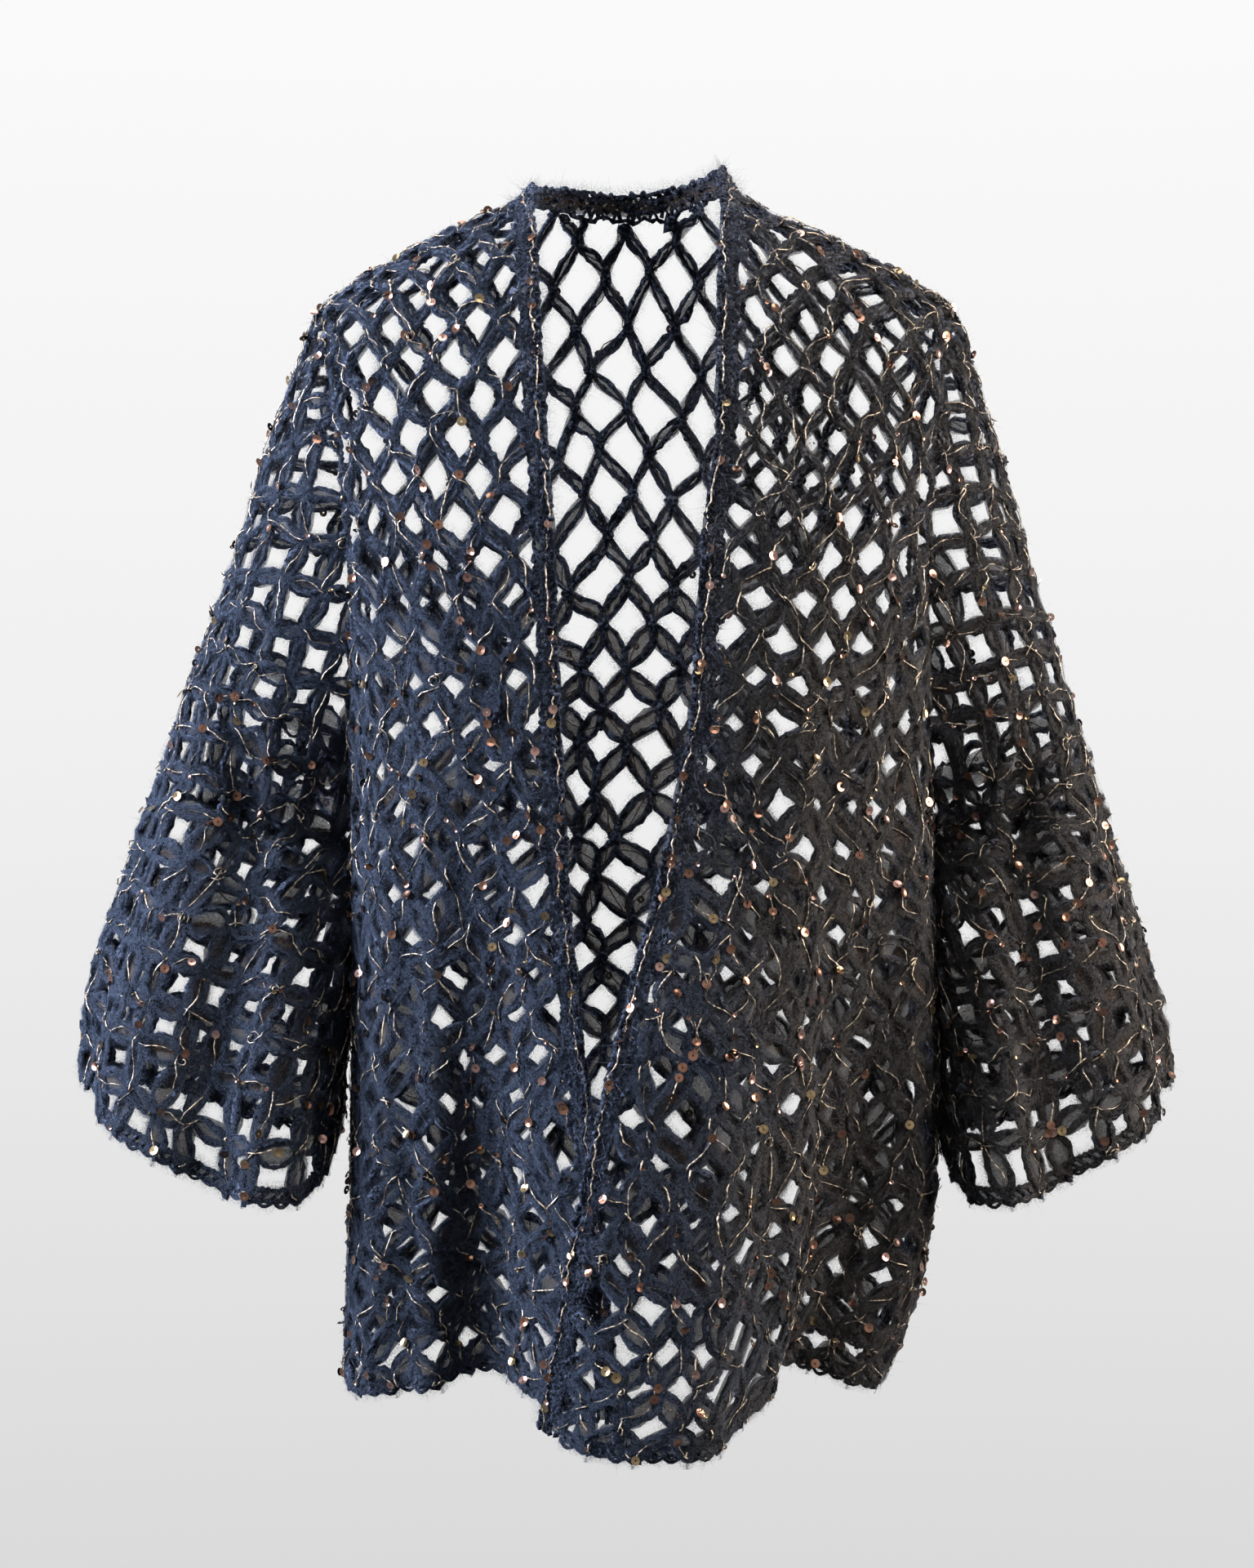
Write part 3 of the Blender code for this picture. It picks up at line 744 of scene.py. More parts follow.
def normals_of(panel, across, down):
    """Unit normals of a panel, facing out of the garment."""
    sideways = panel.place(across + NORMAL_STEP, down) - panel.place(across - NORMAL_STEP, down)
    below = np.minimum(down + NORMAL_STEP, panel.length)
    above = np.maximum(down - NORMAL_STEP, 0)
    downwards = panel.place(across, below) - panel.place(across, above)
    return panel.outward * unit(np.cross(sideways, downwards))


def levelled(panel, across, down):
    """Lengths down a body panel, moved up where the shoulder's slope would make a row hang."""
    own = panel.place(np.sign(across) * np.minimum(np.abs(across), panel.level), down)[..., 2]
    here = panel.place(across, down)[..., 2]
    first, full, fading, last = LEVEL_RUNS
    weight = ramp(down, first, full) * (1 - ramp(down, fading, last))
    return down + LEVEL_GAIN * weight * (here - own)


def evened(panel, across, down):
    """Lengths down a sleeve, moved so that its rows lie evenly along every column of the net."""
    columns = np.linspace(across.min(), across.max(), EVEN_COLUMNS)
    rows = np.linspace(0, panel.length, EVEN_ROWS)
    grid_across, grid_down = np.meshgrid(columns, rows, indexing="ij")
    grid_across = np.clip(grid_across, panel.reach[0](grid_down), panel.reach[1](grid_down))
    lines = travel(panel.place(grid_across, grid_down))
    share = np.linspace(0, 1, EVEN_ROWS)
    rows_at = np.stack([np.interp(share * line[-1], line, rows) for line in lines])
    return between(rows_at, (across - columns[0]) / np.ptp(columns), down / panel.length)


def net_places(panel, rng):
    """The knots of an even net, a little strayed, and the pairs of knots that a loop joins."""
    slanted = panel.level is not None
    rows = round(panel.length / panel.row)
    down_at = np.linspace(0, panel.length, rows + 1)
    widest = max(np.abs(reach(down_at)).max() for reach in panel.reach)
    most = int(widest / min(cell.width for cell in panel.cells)) + 2
    index_down, index_across = np.meshgrid(np.arange(rows + 1), np.arange(-most, most + 1), indexing="ij")
    shift = 0.5 * (index_down % 2) if slanted else 0
    down = panel.length * index_down / rows
    across = panel.anchor(down) + smooth_value(panel.cells, "width", down) * (index_across + shift)
    uneven = UNEVEN + UNEVEN_MORE * ramp(down, *UNEVEN_RUNS)
    across = across + uneven * rng.normal(0, 1, down.shape)
    down = levelled(panel, across, down) if slanted else evened(panel, across, down)
    wave = 2 * np.pi / WANDER_LENGTH
    slow_across, slow_aside, slow_down = (rate * wave for rate in WANDER_RATES)
    first, second, third, fourth = rng.uniform(0, 2 * np.pi, 4)
    across = across + WANDER * np.sin(wave * down + first) * np.cos(slow_across * across + second)
    down = down + WANDER * np.sin(slow_aside * across + third) * np.cos(slow_down * down + fourth)
    down = down + uneven * rng.normal(0, 1, down.shape)
    down[0], down[-1] = 0, panel.length
    number = np.arange(index_down.size).reshape(index_down.shape)
    if slanted:
        even, odd = number[0:-1:2], number[1:-1:2]
        after_even = number[1::2][:len(even)]
        after_odd = number[2::2][:len(odd)]
        pairs = [(even, after_even), (even[:, 1:], after_even[:, :-1]),
                 (odd, after_odd), (odd[:, :-1], after_odd[:, 1:])]
    else:
        pairs = [(number[1:-1, :-1], number[1:-1, 1:]), (number[:-1], number[1:])]
    pairs = np.concatenate([np.stack([one.ravel(), other.ravel()], -1) for one, other in pairs])
    return np.stack([across.ravel(), down.ravel()], -1), pairs


def trimmed(panel, start, end):
    """Loops cut off where they leave the panel, with their cut ends, and what is too short left out."""
    first, last = panel.inside(*start.T), panel.inside(*end.T)
    keep = first | last
    start, end, first, last = start[keep], end[keep], first[keep], last[keep]
    turned = ~first
    start[turned], end[turned] = end[turned].copy(), start[turned].copy()
    cut = ~(first & last)
    low, high = np.zeros(len(start)), np.ones(len(start))
    for _ in range(CUT_ROUNDS):
        middle = (low + high) / 2
        good = panel.inside(*(start + middle[:, None] * (end - start)).T)
        low, high = np.where(good, middle, low), np.where(good, high, middle)
    end = np.where(cut[:, None], start + low[:, None] * (end - start), end)
    long_enough = np.hypot(*(end - start).T) > SHORTEST_LEAF
    return start[long_enough], end[long_enough], end[long_enough & cut]


# A bundle is a mesh in the making: its points, its faces by number of corners, and a tint for each point.
Bundle = namedtuple("Bundle", "points faces tint")


def tubes(paths, normals, radii, sides, rng):
    """Closed strands along paths, all with the same number of steps."""
    count, steps = paths.shape[:2]
    along = unit(np.gradient(paths, axis=1))
    across = unit(np.cross(along, normals))
    up = np.cross(across, along)
    turn = 2 * np.pi * np.arange(sides) / sides + rng.uniform(0, 2 * np.pi, (count, 1, 1))
    ring = np.cos(turn)[..., None] * across[:, :, None] + np.sin(turn)[..., None] * up[:, :, None]
    points = paths[:, :, None] + np.broadcast_to(radii, (count, steps))[:, :, None, None] * ring
    index = np.arange(count * steps * sides).reshape(count, steps, sides)
    after = np.roll(index, -1, axis=2)
    walls = np.stack([index[:, :-1], index[:, 1:], after[:, 1:], after[:, :-1]], -1).reshape(-1, 4)
    caps = np.concatenate([index[:, 0], index[:, -1, ::-1]])
    return Bundle(points.reshape(-1, 3), [walls, caps], np.zeros(index.size))


def lay(panel, across, down, height):
    """Points on a panel, raised off it by a height, and the normals there."""
    normals = normals_of(panel, across, down)
    return panel.place(across, down) + np.asarray(height)[..., None] * normals, normals


def flat_lay(panel, across, down):
    """Points on a panel itself, and the normals there."""
    return lay(panel, across, down, np.zeros(across.shape))


def legs(panel, start, end, share):
    """Places along the loops from knot to knot. On the body they leave a knot steeply, as the cloth hangs."""
    run = end - start
    steep = 0.0 if panel.level is None else smooth_value(FULLNESS, "upright", start[:, 1])
    easing = ramp(share, 0, 1) - share
    across = start[:, :1] + run[:, :1] * (share + np.reshape(steep, (-1, 1)) * easing)
    down = start[:, 1:] + run[:, 1:] * share
    return np.stack([across, down], -1)


def strays(shape, rng):
    """Random values of about -1 to 1 that change smoothly along their last axis."""
    loose = rng.normal(0, 1, (shape[0], shape[1] + 2))
    return (loose[:, :-2] + loose[:, 1:-1] + loose[:, 2:]) / 3


def square_to(run):
    """Unit vectors square to runs across and down a panel."""
    return np.stack([-run[:, 1], run[:, 0]], -1) / np.hypot(*run.T)[:, None]


def leaf_loops(panel, start, end, rng):
    """The love-knot loops: two bowed strands between two knots, with the brushed fibres that fill a loop."""
    count = len(start)
    length = np.hypot(*(end - start).T)
    sideways = square_to(end - start)
    kind = "sleeve" if panel.level is None else "body"
    middle = (start[:, 1] + end[:, 1]) / 2
    fullness = smooth_value(FULLNESS, f"{kind}_leaf", middle)
    width = fullness * np.clip(length / USUAL_LEAF, *LEAF_SHARES) * rng.uniform(*LEAF_VARIES, count)
    drift = rng.normal(0, LEAF_DRIFT, count)
    share = np.linspace(0, 1, LEAF_STEPS + 1)
    bow = np.sin(np.pi * share) ** BOW_POWER
    middle_line = legs(panel, start, end, share)
    by_turns = (-1.0) ** np.arange(LEAF_STEPS + 1)
    thin = smooth_value(FULLNESS, f"{kind}_haze", middle)
    few = np.linspace(0, LEAF_STEPS, HAZE_STEPS + 1).round().astype(int)
    strand = STRAND * smooth_value(FULLNESS, "strand", middle)[:, None]
    shape = (count, LEAF_STEPS + 1)
    bundles, soft, paths, normals = [], [], [], []
    for sign in (-1, 1):
        bulge = width * rng.uniform(*BULGE_VARIES, count)
        lumps = strays(shape, rng)
        aside = sign * bulge[:, None] * bow + LUMP_ASIDE * lumps + drift[:, None] * np.sin(2 * np.pi * share)
        at = middle_line + sideways[:, None] * aside[..., None]
        height = STRAND_HEIGHT + rng.normal(*STRAND_BOW, (count, 1)) * bow + STRAND_STRAY * strays(shape, rng)
        path, normal = lay(panel, at[..., 0], at[..., 1], height)
        thick = 1 + BEAD * by_turns * rng.choice([-1, 1], (count, 1)) + LUMP * strays(shape, rng)
        radius = strand * (STRAND_ENDS + STRAND_MIDDLE * bow) * np.clip(thick, *STRAND_LIMITS)
        bundles.append(tubes(path, normal, radius, FINE_SIDES, rng))
        soft.append(haze(path[:, few], normal[:, few], STRAND + HAZE_BEYOND, HAZE_ABOVE, thin, rng))
        paths.append(path)
        normals.append(normal)
    filling = smooth_value(FULLNESS, "filling", middle)
    belly = width[:, None] * np.sin(np.pi * share[few])
    path, normal = flat_lay(panel, middle_line[:, few, 0], middle_line[:, few, 1])
    soft.append(haze(path, normal, belly + STRAND, HAZE_BEHIND, filling, rng, FILL_RIM))
    return bundles, soft, np.concatenate(paths), np.concatenate(normals)


def haze(paths, normals, half, lift, peak, rng, rim_share=0.0):
    """Thin strips that carry the soft haze of the finest fibres, fading towards both sides."""
    count, steps = paths.shape[:2]
    along = unit(np.gradient(paths, axis=1))
    sideways = np.cross(along, normals)
    half = np.broadcast_to(half, (count, steps)) * rng.uniform(*HAZE_VARIES, (count, steps))
    middle = paths + lift * normals
    rim = sideways * half[..., None]
    points = np.stack([middle - rim, middle + HAZE_CROWN * normals, middle + rim], axis=2)
    index = np.arange(count * steps * 3).reshape(count, steps, 3)
    here, there = index[:, :-1], index[:, 1:]
    faces = np.stack([here[..., :-1], here[..., 1:], there[..., 1:], there[..., :-1]], -1).reshape(-1, 4)
    thickness = np.reshape(peak, (-1, 1, 1)) * np.array([rim_share, 1.0, rim_share])
    return Bundle(points.reshape(-1, 3), [faces], np.broadcast_to(thickness, (count, steps, 3)).ravel())


def ball():
    """Points and faces of a round ball of radius 1, the base of a knot."""
    work = bmesh.new()
    bmesh.ops.create_icosphere(work, subdivisions=1, radius=1)
    points = np.array([vert.co for vert in work.verts])
    faces = np.array([[vert.index for vert in face.verts] for face in work.faces])
    work.free()
    return points, faces


def knots(panel, places, rng):
    """The tight knots where four loops meet: small rough lumps, flat to the cloth, and their haze."""
    points, faces = ball()
    across, down = places.T
    middle, outward = lay(panel, across, down, np.full(len(places), KNOT_HEIGHT))
    sideways = unit(panel.place(across + NORMAL_STEP, down) - panel.place(across - NORMAL_STEP, down))
    downwards = np.cross(outward, sideways)
    size = np.array(KNOT) * rng.uniform(*KNOT_VARIES, (len(places), 3))
    size = size * smooth_value(FULLNESS, "knot", down)[:, None]
    rough = 1 + rng.normal(0, KNOT_ROUGH, (len(places), len(points), 1))
    shape = points * rough * size[:, None]
    placed = (middle[:, None] + shape[..., :1] * sideways[:, None] + shape[..., 1:2] * downwards[:, None]
              + shape[..., 2:] * outward[:, None])
    shifted = faces + len(points) * np.arange(len(places))[:, None, None]
    lump = Bundle(placed.reshape(-1, 3), [shifted.reshape(-1, 3)], np.zeros(placed.size // 3))
    path = middle[:, None] + np.array(KNOT_HAZE_DOWN)[:, None] * downwards[:, None]
    facing = np.repeat(outward[:, None], len(KNOT_HAZE_DOWN), axis=1)
    soft = haze(path, facing, np.array(KNOT_HAZE_HALF), KNOT_HAZE_HEIGHT, KNOT_HAZE_PEAK, rng)
    return lump, soft


def cord(path, normal, rng):
    """Two strands twisted round each other along a path, their haze, and each one's line and normals."""
    travelled = travel(path)
    count = max(int(travelled[-1] / CORD_STEP), LEAST_CORD_STEPS)
    even = np.linspace(0, travelled[-1], count + 1)
    path = np.stack([np.interp(even, travelled, path[:, axis]) for axis in range(3)], -1)
    normal = unit(np.stack([np.interp(even, travelled, normal[:, axis]) for axis in range(3)], -1))
    sideways = unit(np.cross(np.gradient(path, axis=0), normal))
    bundles, rows = [], []
    for half_turn in (0, np.pi):
        turn = 2 * np.pi * even / CORD_TWIST + half_turn + rng.normal(0, CORD_TURN_STRAY, count + 1)
        off = CORD_STRAND * (np.cos(turn)[:, None] * sideways + np.sin(turn)[:, None] * normal)
        radius = CORD_STRAND * rng.uniform(*CORD_VARIES, (1, count + 1))
        bundles.append(tubes((path + off)[None], normal[None], radius, FINE_SIDES, rng))
        rows.append((path + off, normal))
    half = 2 * CORD_STRAND + HAZE_BEYOND
    soft = haze(path[None], normal[None], half, CORD_HAZE_HEIGHT, CORD_HAZE_PEAK, rng)
    return bundles, soft, rows


def cut_up(path, normals):
    """A long path as short ones of a few steps, for fibres and sequins."""
    points = FUZZ_STEPS + 1
    whole = len(path) // points * points
    return path[:whole].reshape(-1, points, 3), normals[:whole].reshape(-1, points, 3)


def scallops(panel, first, last, rng):
    """Small arcs of yarn hanging along a panel's lower edge."""
    count = max(int((last - first) / SCALLOP), 1)
    begin = np.linspace(first, last, count + 1)
    share = np.linspace(0, 1, SCALLOP_STEPS + 1)
    across = begin[:-1, None] + np.diff(begin)[:, None] * share
    down = np.full(across.shape, panel.length)
    points, normals = flat_lay(panel, across, down)
    downwards = unit(points - panel.place(across, down - 2 * NORMAL_STEP))
    drop = SCALLOP_DROP * rng.uniform(*SCALLOP_VARIES, (count, 1)) * np.sin(np.pi * share)
    path = points + drop[..., None] * downwards
    radius = CORD_STRAND * rng.uniform(*SCALLOP_STRAND_VARIES, across.shape)
    return tubes(path, normals, radius, PLAIN_SIDES, rng), path, normals


def edge_stitches(panel, first, last, rng):
    """Short slanted stitches in the narrow row along a panel's lower edge."""
    begin = np.arange(first, last - EDGE_STITCH, EDGE_STITCH)
    begin = begin + rng.normal(0, EDGE_STRAY, len(begin))
    share = np.linspace(0, 1, EDGE_STEPS + 1)
    across = begin[:, None] + EDGE_STITCH * share
    down = panel.length - EDGE_ROW * (1 - share) + 0 * across
    path, normals = lay(panel, across, down, EDGE_HEIGHT * np.sin(np.pi * share) + 0 * across)
    radius = EDGE_POST * rng.uniform(*EDGE_VARIES, across.shape)
    return tubes(path, normals, radius, PLAIN_SIDES, rng)


def thread_runs(panel, start, end, rng):
    """The metallic thread that winds round the loops, and the places on their face where its sequins lie."""
    chosen = rng.uniform(size=len(start)) < THREAD_SHARE
    start, end = start[chosen], end[chosen]
    count = len(start)
    sideways = square_to(end - start)
    share = np.linspace(*THREAD_SPAN, THREAD_STEPS + 1)
    turn = (rng.uniform(0, 2 * np.pi, (count, 1))
            + rng.choice([-1, 1], (count, 1)) * 2 * np.pi * rng.uniform(*THREAD_TURNS, (count, 1)) * share)
    aside = rng.uniform(*THREAD_ASIDE, (count, 1)) * np.cos(turn) + rng.normal(0, THREAD_STRAY, turn.shape)
    at = legs(panel, start, end, share) + sideways[:, None] * aside[..., None]
    at[..., 1] = np.clip(at[..., 1], 0, panel.length)
    height = THREAD_HEIGHT + THREAD_LIFT * np.sin(turn) + rng.normal(0, THREAD_HEIGHT_STRAY, turn.shape)
    path, normal = lay(panel, at[..., 0], at[..., 1], height)
    face = path + np.maximum(THREAD_HEIGHT + THREAD_LIFT - height, 0)[..., None] * normal
    return tubes(path, normal, np.full((count, 1), THREAD), FINE_SIDES, rng), face, normal


def thread_curls(panel, places, rng):
    """Loose curls where the springy thread pops out at a knot."""
    chosen = places[rng.uniform(size=len(places)) < CURL_SHARE]
    count = len(chosen)
    share = np.linspace(0, 1, CURL_STEPS + 1)
    turn = (rng.uniform(0, 2 * np.pi, (count, 1))
            + rng.choice([-1, 1], (count, 1)) * 2 * np.pi * CURL_TURNS * share)
    size = CURL_RADIUS * rng.uniform(*CURL_VARIES, (count, 1)) * (CURL_START + CURL_GROWTH * share)
    across = chosen[:, :1] + size * np.cos(turn)
    down = np.clip(chosen[:, 1:] + size * np.sin(turn), 0, panel.length)
    height = CURL_HEIGHT + CURL_RISE * np.sin(2 * np.pi * share) + 0 * size
    path, normal = lay(panel, across, down, height)
    return tubes(path, normal, np.full((count, 1), THREAD), FINE_SIDES, rng)


def sequins(paths, normals, how_many, rng):
    """Flat round sequins with a hole, strung on the thread and tilted every way."""
    which = rng.integers(len(paths), size=how_many)
    step = rng.integers(1, paths.shape[1] - 1, size=how_many)
    middle, outward = paths[which, step], normals[which, step]
    facing = unit(outward + rng.normal(0, SEQUIN_TILT, (how_many, 3)))
    kind = rng.choice(len(SEQUINS), size=how_many, p=np.array([row.share for row in SEQUINS]))
    radius = np.array([row.radius for row in SEQUINS])[kind] * rng.uniform(*SEQUIN_VARIES, how_many)
    tint = np.array([row.tint for row in SEQUINS])[kind]
    along = unit(np.cross(facing, rng.normal(size=(how_many, 3))))
    across = np.cross(facing, along)
    turn = 2 * np.pi * np.arange(SEQUIN_SIDES) / SEQUIN_SIDES
    spoke = np.cos(turn)[None, :, None] * along[:, None] + np.sin(turn)[None, :, None] * across[:, None]
    hang = radius * rng.uniform(*SEQUIN_HANG, how_many)
    middle = middle + outward * SEQUIN_HEIGHT - hang[:, None] * np.array([0, 0, 1.0])
    rim = middle[:, None] + radius[:, None, None] * spoke
    hole = middle[:, None] + SEQUIN_HOLE * spoke - SEQUIN_CUP * facing[:, None]
    points = np.concatenate([rim, hole], axis=1)
    index = np.arange(how_many * 2 * SEQUIN_SIDES).reshape(how_many, 2, SEQUIN_SIDES)
    after = np.roll(index, -1, axis=2)
    faces = np.stack([index[:, 0], after[:, 0], after[:, 1], index[:, 1]], -1).reshape(-1, 4)
    return Bundle(points.reshape(-1, 3), [faces], np.repeat(tint, 2 * SEQUIN_SIDES))


def halo(paths, normals, rng, share=1.0, longer=1.0):
    """Fine fibres that stand off the brushed yarn, each a thin blade that tapers to its tip."""
    lengths = np.linalg.norm(np.diff(paths, axis=1), axis=-1).sum(axis=1)
    count = int(HALO_A_METRE * share * lengths.sum() * MM)
    which = rng.choice(len(paths), size=count, p=lengths / lengths.sum())
    at = rng.uniform(0, paths.shape[1] - SHORT_OF_END, count)
    step = at.astype(int)
    part = (at - step)[:, None]
    root = paths[which, step] * (1 - part) + paths[which, step + 1] * part
    along = unit(paths[which, step + 1] - paths[which, step])
    outward = normals[which, step]
    sideways = np.cross(along, outward)
    lean = unit(outward * np.abs(rng.normal(*LEAN_OUT, (count, 1)))
                + sideways * rng.normal(0, LEAN_ASIDE, (count, 1))
                + along * rng.normal(0, LEAN_ALONG, (count, 1)))
    length = longer * np.clip(rng.gamma(*HALO_SPREAD, (count, 1)), *HALO_LENGTH)
    flat = unit(np.cross(lean, rng.normal(size=(count, 3)))) * HALO_WIDTH / 2
    tip = root + lean * length
    points = np.stack([root - flat, root + flat, tip], axis=1)
    faces = np.arange(count * 3).reshape(count, 3)
    tints = np.repeat(rng.uniform(0, 1, count) ** FIBRE_SHADES, 3)
    return Bundle(points.reshape(-1, 3), [faces], tints)


def piece(name, bundles, material):
    """One mesh object from bundles, riding on the garment."""
    points = np.concatenate([bundle.points for bundle in bundles]) * MM
    first = np.cumsum([0] + [len(bundle.points) for bundle in bundles])
    faces = [group + first[number] for number, bundle in enumerate(bundles) for group in bundle.faces]
    corners = np.concatenate([group.ravel() for group in faces]).astype(np.int32)
    sizes = np.concatenate([np.full(len(group), group.shape[1]) for group in faces])
    starts = np.concatenate([[0], np.cumsum(sizes)[:-1]]).astype(np.int32)
    mesh = bpy.data.meshes.new(name)
    mesh.vertices.add(len(points))
    mesh.vertices.foreach_set("co", points.astype(np.float32).ravel())
    mesh.loops.add(len(corners))
    mesh.loops.foreach_set("vertex_index", corners)
    mesh.polygons.add(len(sizes))
    mesh.polygons.foreach_set("loop_start", starts)
    mesh.update(calc_edges=True)
    tint = mesh.attributes.new("tint", "FLOAT", "POINT")
    tint.data.foreach_set("value", np.concatenate([bundle.tint for bundle in bundles]).astype(np.float32))
    mesh.shade_smooth()
    mesh.materials.append(material)
    made = bpy.data.objects.new(name, mesh)
    bpy.context.scene.collection.objects.link(made)
    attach(made, "root")
    return made


# Band: strips of dense stitches. A strip is measured along and across, in mm.
Strip = namedtuple("Strip", "place length outward")


def front_strip(side):
    """The band along one front, from the neck to the hem."""
    hand = "left" if side > 0 else "right"

    def place(along, across):
        edge = smooth_value(FRONT_EDGES, hand, along) + side * across
        return body_surface(angle_at(edge, along), along, side > 0)

    return Strip(place, HEM_RUN, -side)


def neck_strip():
    """The band round the back of the neck, from the left shoulder to the right."""
    turns = np.linspace(0.5, -0.5, ACROSS + 1) * math.pi

    def at_turn(turn, across):
        x = (NECK_SIDE + across) * np.sin(turn)
        behind = (NECK_BACK + across) * np.cos(turn)
        return body_surface(*back_place(x, behind))

    line = at_turn(turns, np.full(len(turns), BAND_WIDTH / 2))
    travelled = travel(line)

    def place(along, across):
        return at_turn(np.interp(along, travelled, turns), across)

    return Strip(place, travelled[-1], 1)


def strip_lay(strip, along, across, height):
    """Points on a band, raised off it, and its normals."""
    ahead, behind = np.minimum(along + NORMAL_STEP, strip.length), np.maximum(along - NORMAL_STEP, 0)
    forward = strip.place(ahead, across) - strip.place(behind, across)
    sideways = strip.place(along, across + NORMAL_STEP / 2) - strip.place(along, across - NORMAL_STEP / 2)
    normals = strip.outward * unit(np.cross(sideways, forward))
    return strip.place(along, across) + np.asarray(height)[..., None] * normals, normals


def band_posts(strip, row, before, rng):
    """Slanted posts between the row before and this one, leaning one way and then the other."""
    begin = np.arange(row.step / 2, strip.length - row.step, row.step)
    begin = begin + rng.normal(0, SPACING_STRAY * row.step, len(begin))
    share = np.linspace(0, 1, POST_STEPS + 1)
    bundles = []
    for sign in (-1, 1):
        at = np.clip(begin[:, None] + sign * BAND_LEAN * share, 0, strip.length)
        aside = before.across + (row.across - before.across) * share + 0 * at
        path, normal = strip_lay(strip, at, aside, POST_HEIGHT * np.sin(np.pi * share) + 0 * at)
        radius = BAND_POST * rng.uniform(*POST_VARIES, at.shape)
        bundles.append(tubes(path, normal, radius, FINE_SIDES, rng))
    return bundles


def band_lumps(strip, rng):
    """Small lumps along a band's open edge."""
    begin = np.arange(BOBBLE / 2, strip.length - BOBBLE, BOBBLE)
    begin = begin + rng.normal(0, SPACING_STRAY * BOBBLE, len(begin))
    share = np.linspace(-1, 1, BOBBLE_STEPS + 1)
    at = np.clip(begin[:, None] + BOBBLE_SIZE * share, 0, strip.length)
    aside = BAND_ROWS[0].across + rng.normal(0, BOBBLE_STRAY, (len(begin), 1)) + 0 * at
    path, normal = strip_lay(strip, at, aside, BOBBLE_HEIGHT + 0 * at)
    radius = BOBBLE_SIZE * (BOBBLE_CROWN - share ** 2) * rng.uniform(*BOBBLE_VARIES, (len(begin), 1))
    return tubes(path, normal, radius, LUMP_SIDES, rng)


def band_stitches(strip, rng):
    """Rows of crochet along a band with posts and lumps, their haze, and each row's line and normals."""
    count = int(strip.length / BAND_STEP)
    along = np.linspace(0, strip.length, count + 1)
    first, second = (2 * np.pi * along / length for length in BAND_WAVES)
    bundles, blur, rows = [], [], []
    for number, row in enumerate(BAND_ROWS):
        slow = np.sin(first + 2 * number) * np.sin(second + number)
        aside = row.across + row.wave * slow + BAND_JITTER * row.wave * rng.normal(0, 1, len(along))
        path, normal = strip_lay(strip, along, aside, rng.normal(0, BAND_HEIGHT_STRAY, len(along)))
        radius = BAND_STRAND * rng.uniform(*BAND_VARIES, len(along))
        bundles.append(tubes(path[None], normal[None], radius[None], PLAIN_SIDES, rng))
        rows.append((path, normal))
        if row.step:
            bundles += band_posts(strip, row, BAND_ROWS[number - 1], rng)
    bundles.append(band_lumps(strip, rng))
    every = along[::BLUR_EVERY]
    for across, half, lift, peak, rim_share in BAND_HAZE:
        path, normal = strip_lay(strip, every, np.full(len(every), across), np.zeros(len(every)))
        blur.append(haze(path[None], normal[None], half, lift, peak, rng, rim_share))
    return bundles, blur, rows


def band_thread(strip, rng):
    """The metallic thread's line near the band's open edge, which strays and dips into the stitches."""
    count = int(strip.length / BAND_THREAD_STEP)
    along = np.linspace(BAND_THREAD_MARGIN, strip.length - BAND_THREAD_MARGIN, count + 1)
    quick, slow = (along / length for length in BAND_THREAD_SWAYS)
    sway = BAND_THREAD_SWAY * np.sin(quick) * np.sin(slow)
    across = BAND_THREAD_AT + sway + BAND_THREAD_STRAY * rng.normal(0, 1, count + 1)
    quick, slow = (along / length for length in BAND_THREAD_DIPS)
    height = BAND_THREAD_HEIGHT + BAND_THREAD_DIP * np.sin(quick + 2 * np.sin(slow))
    path, normal = strip_lay(strip, along, across, height)
    thread = tubes(path[None], normal[None], np.full((1, 1), THREAD), PLAIN_SIDES, rng)
    return thread, path, normal


# Materials. The yarn's colour drifts from navy to charcoal between two places across the garment, in metres,
# in slow uneven patches: a painted change of light, cool navy where the light from the left falls, charcoal
# beyond it. The sizes of the patterns are in mm.
# Painted light: where the yarn turns from navy in the cool light to charcoal, in metres across, how far that
# edge strays, and the size of its patches in mm
PAINTED_LIGHT_DRIFT = (0.05, 0.18)
PAINTED_LIGHT_STRAY = 0.12
PAINTED_LIGHT_PATCH = 60.0
DYE_PLACES = (0.40, 0.60)  # of the first and the last shade of a dye, on its scale from 0 to 1
YARN_PATCH = 14.0
YARN_LUMP = 2.6
LUMP_WEIGHT = 0.7
# The nap and the wisps are of fibres too fine to show, so they are drawn coarser.
NAP = 1.2
NAP_HEIGHT = 1.1
WISP = 1.4
# The haze by its tint: where it turns from thin haze into a loop's filling, where its wisps close up, and
# where it no longer fades
FILLING_TINTS = (0.62, 0.95)
CLOSING_TINTS = (0.4, 1.0)
FADED_TINT = 0.6
MOST_HAZE = 0.98      # how much the thickest haze hides
# Least value of the wisps that shows, in thin and in thick haze, and the value at which they are full
LEAST_WISPS = (0.45, -1.6)
FULL_WISPS = 0.68
FIBRE_PLACES = (0.36, 0.64)  # of the darkest and the palest fibre on the dye's scale
# Size of the patches of painted light and shade along the twisted thread
TWIST_SHADING_SIZE = 2.2


def linear(colour):
    """An sRGB hex colour as linear red, green, blue and alpha."""
    parts = [int(colour[at:at + 2], 16) / 255 for at in (1, 3, 5)]
    return [part / 12.92 if part <= 0.04045 else ((part + 0.055) / 1.055) ** 2.4 for part in parts] + [1.0]


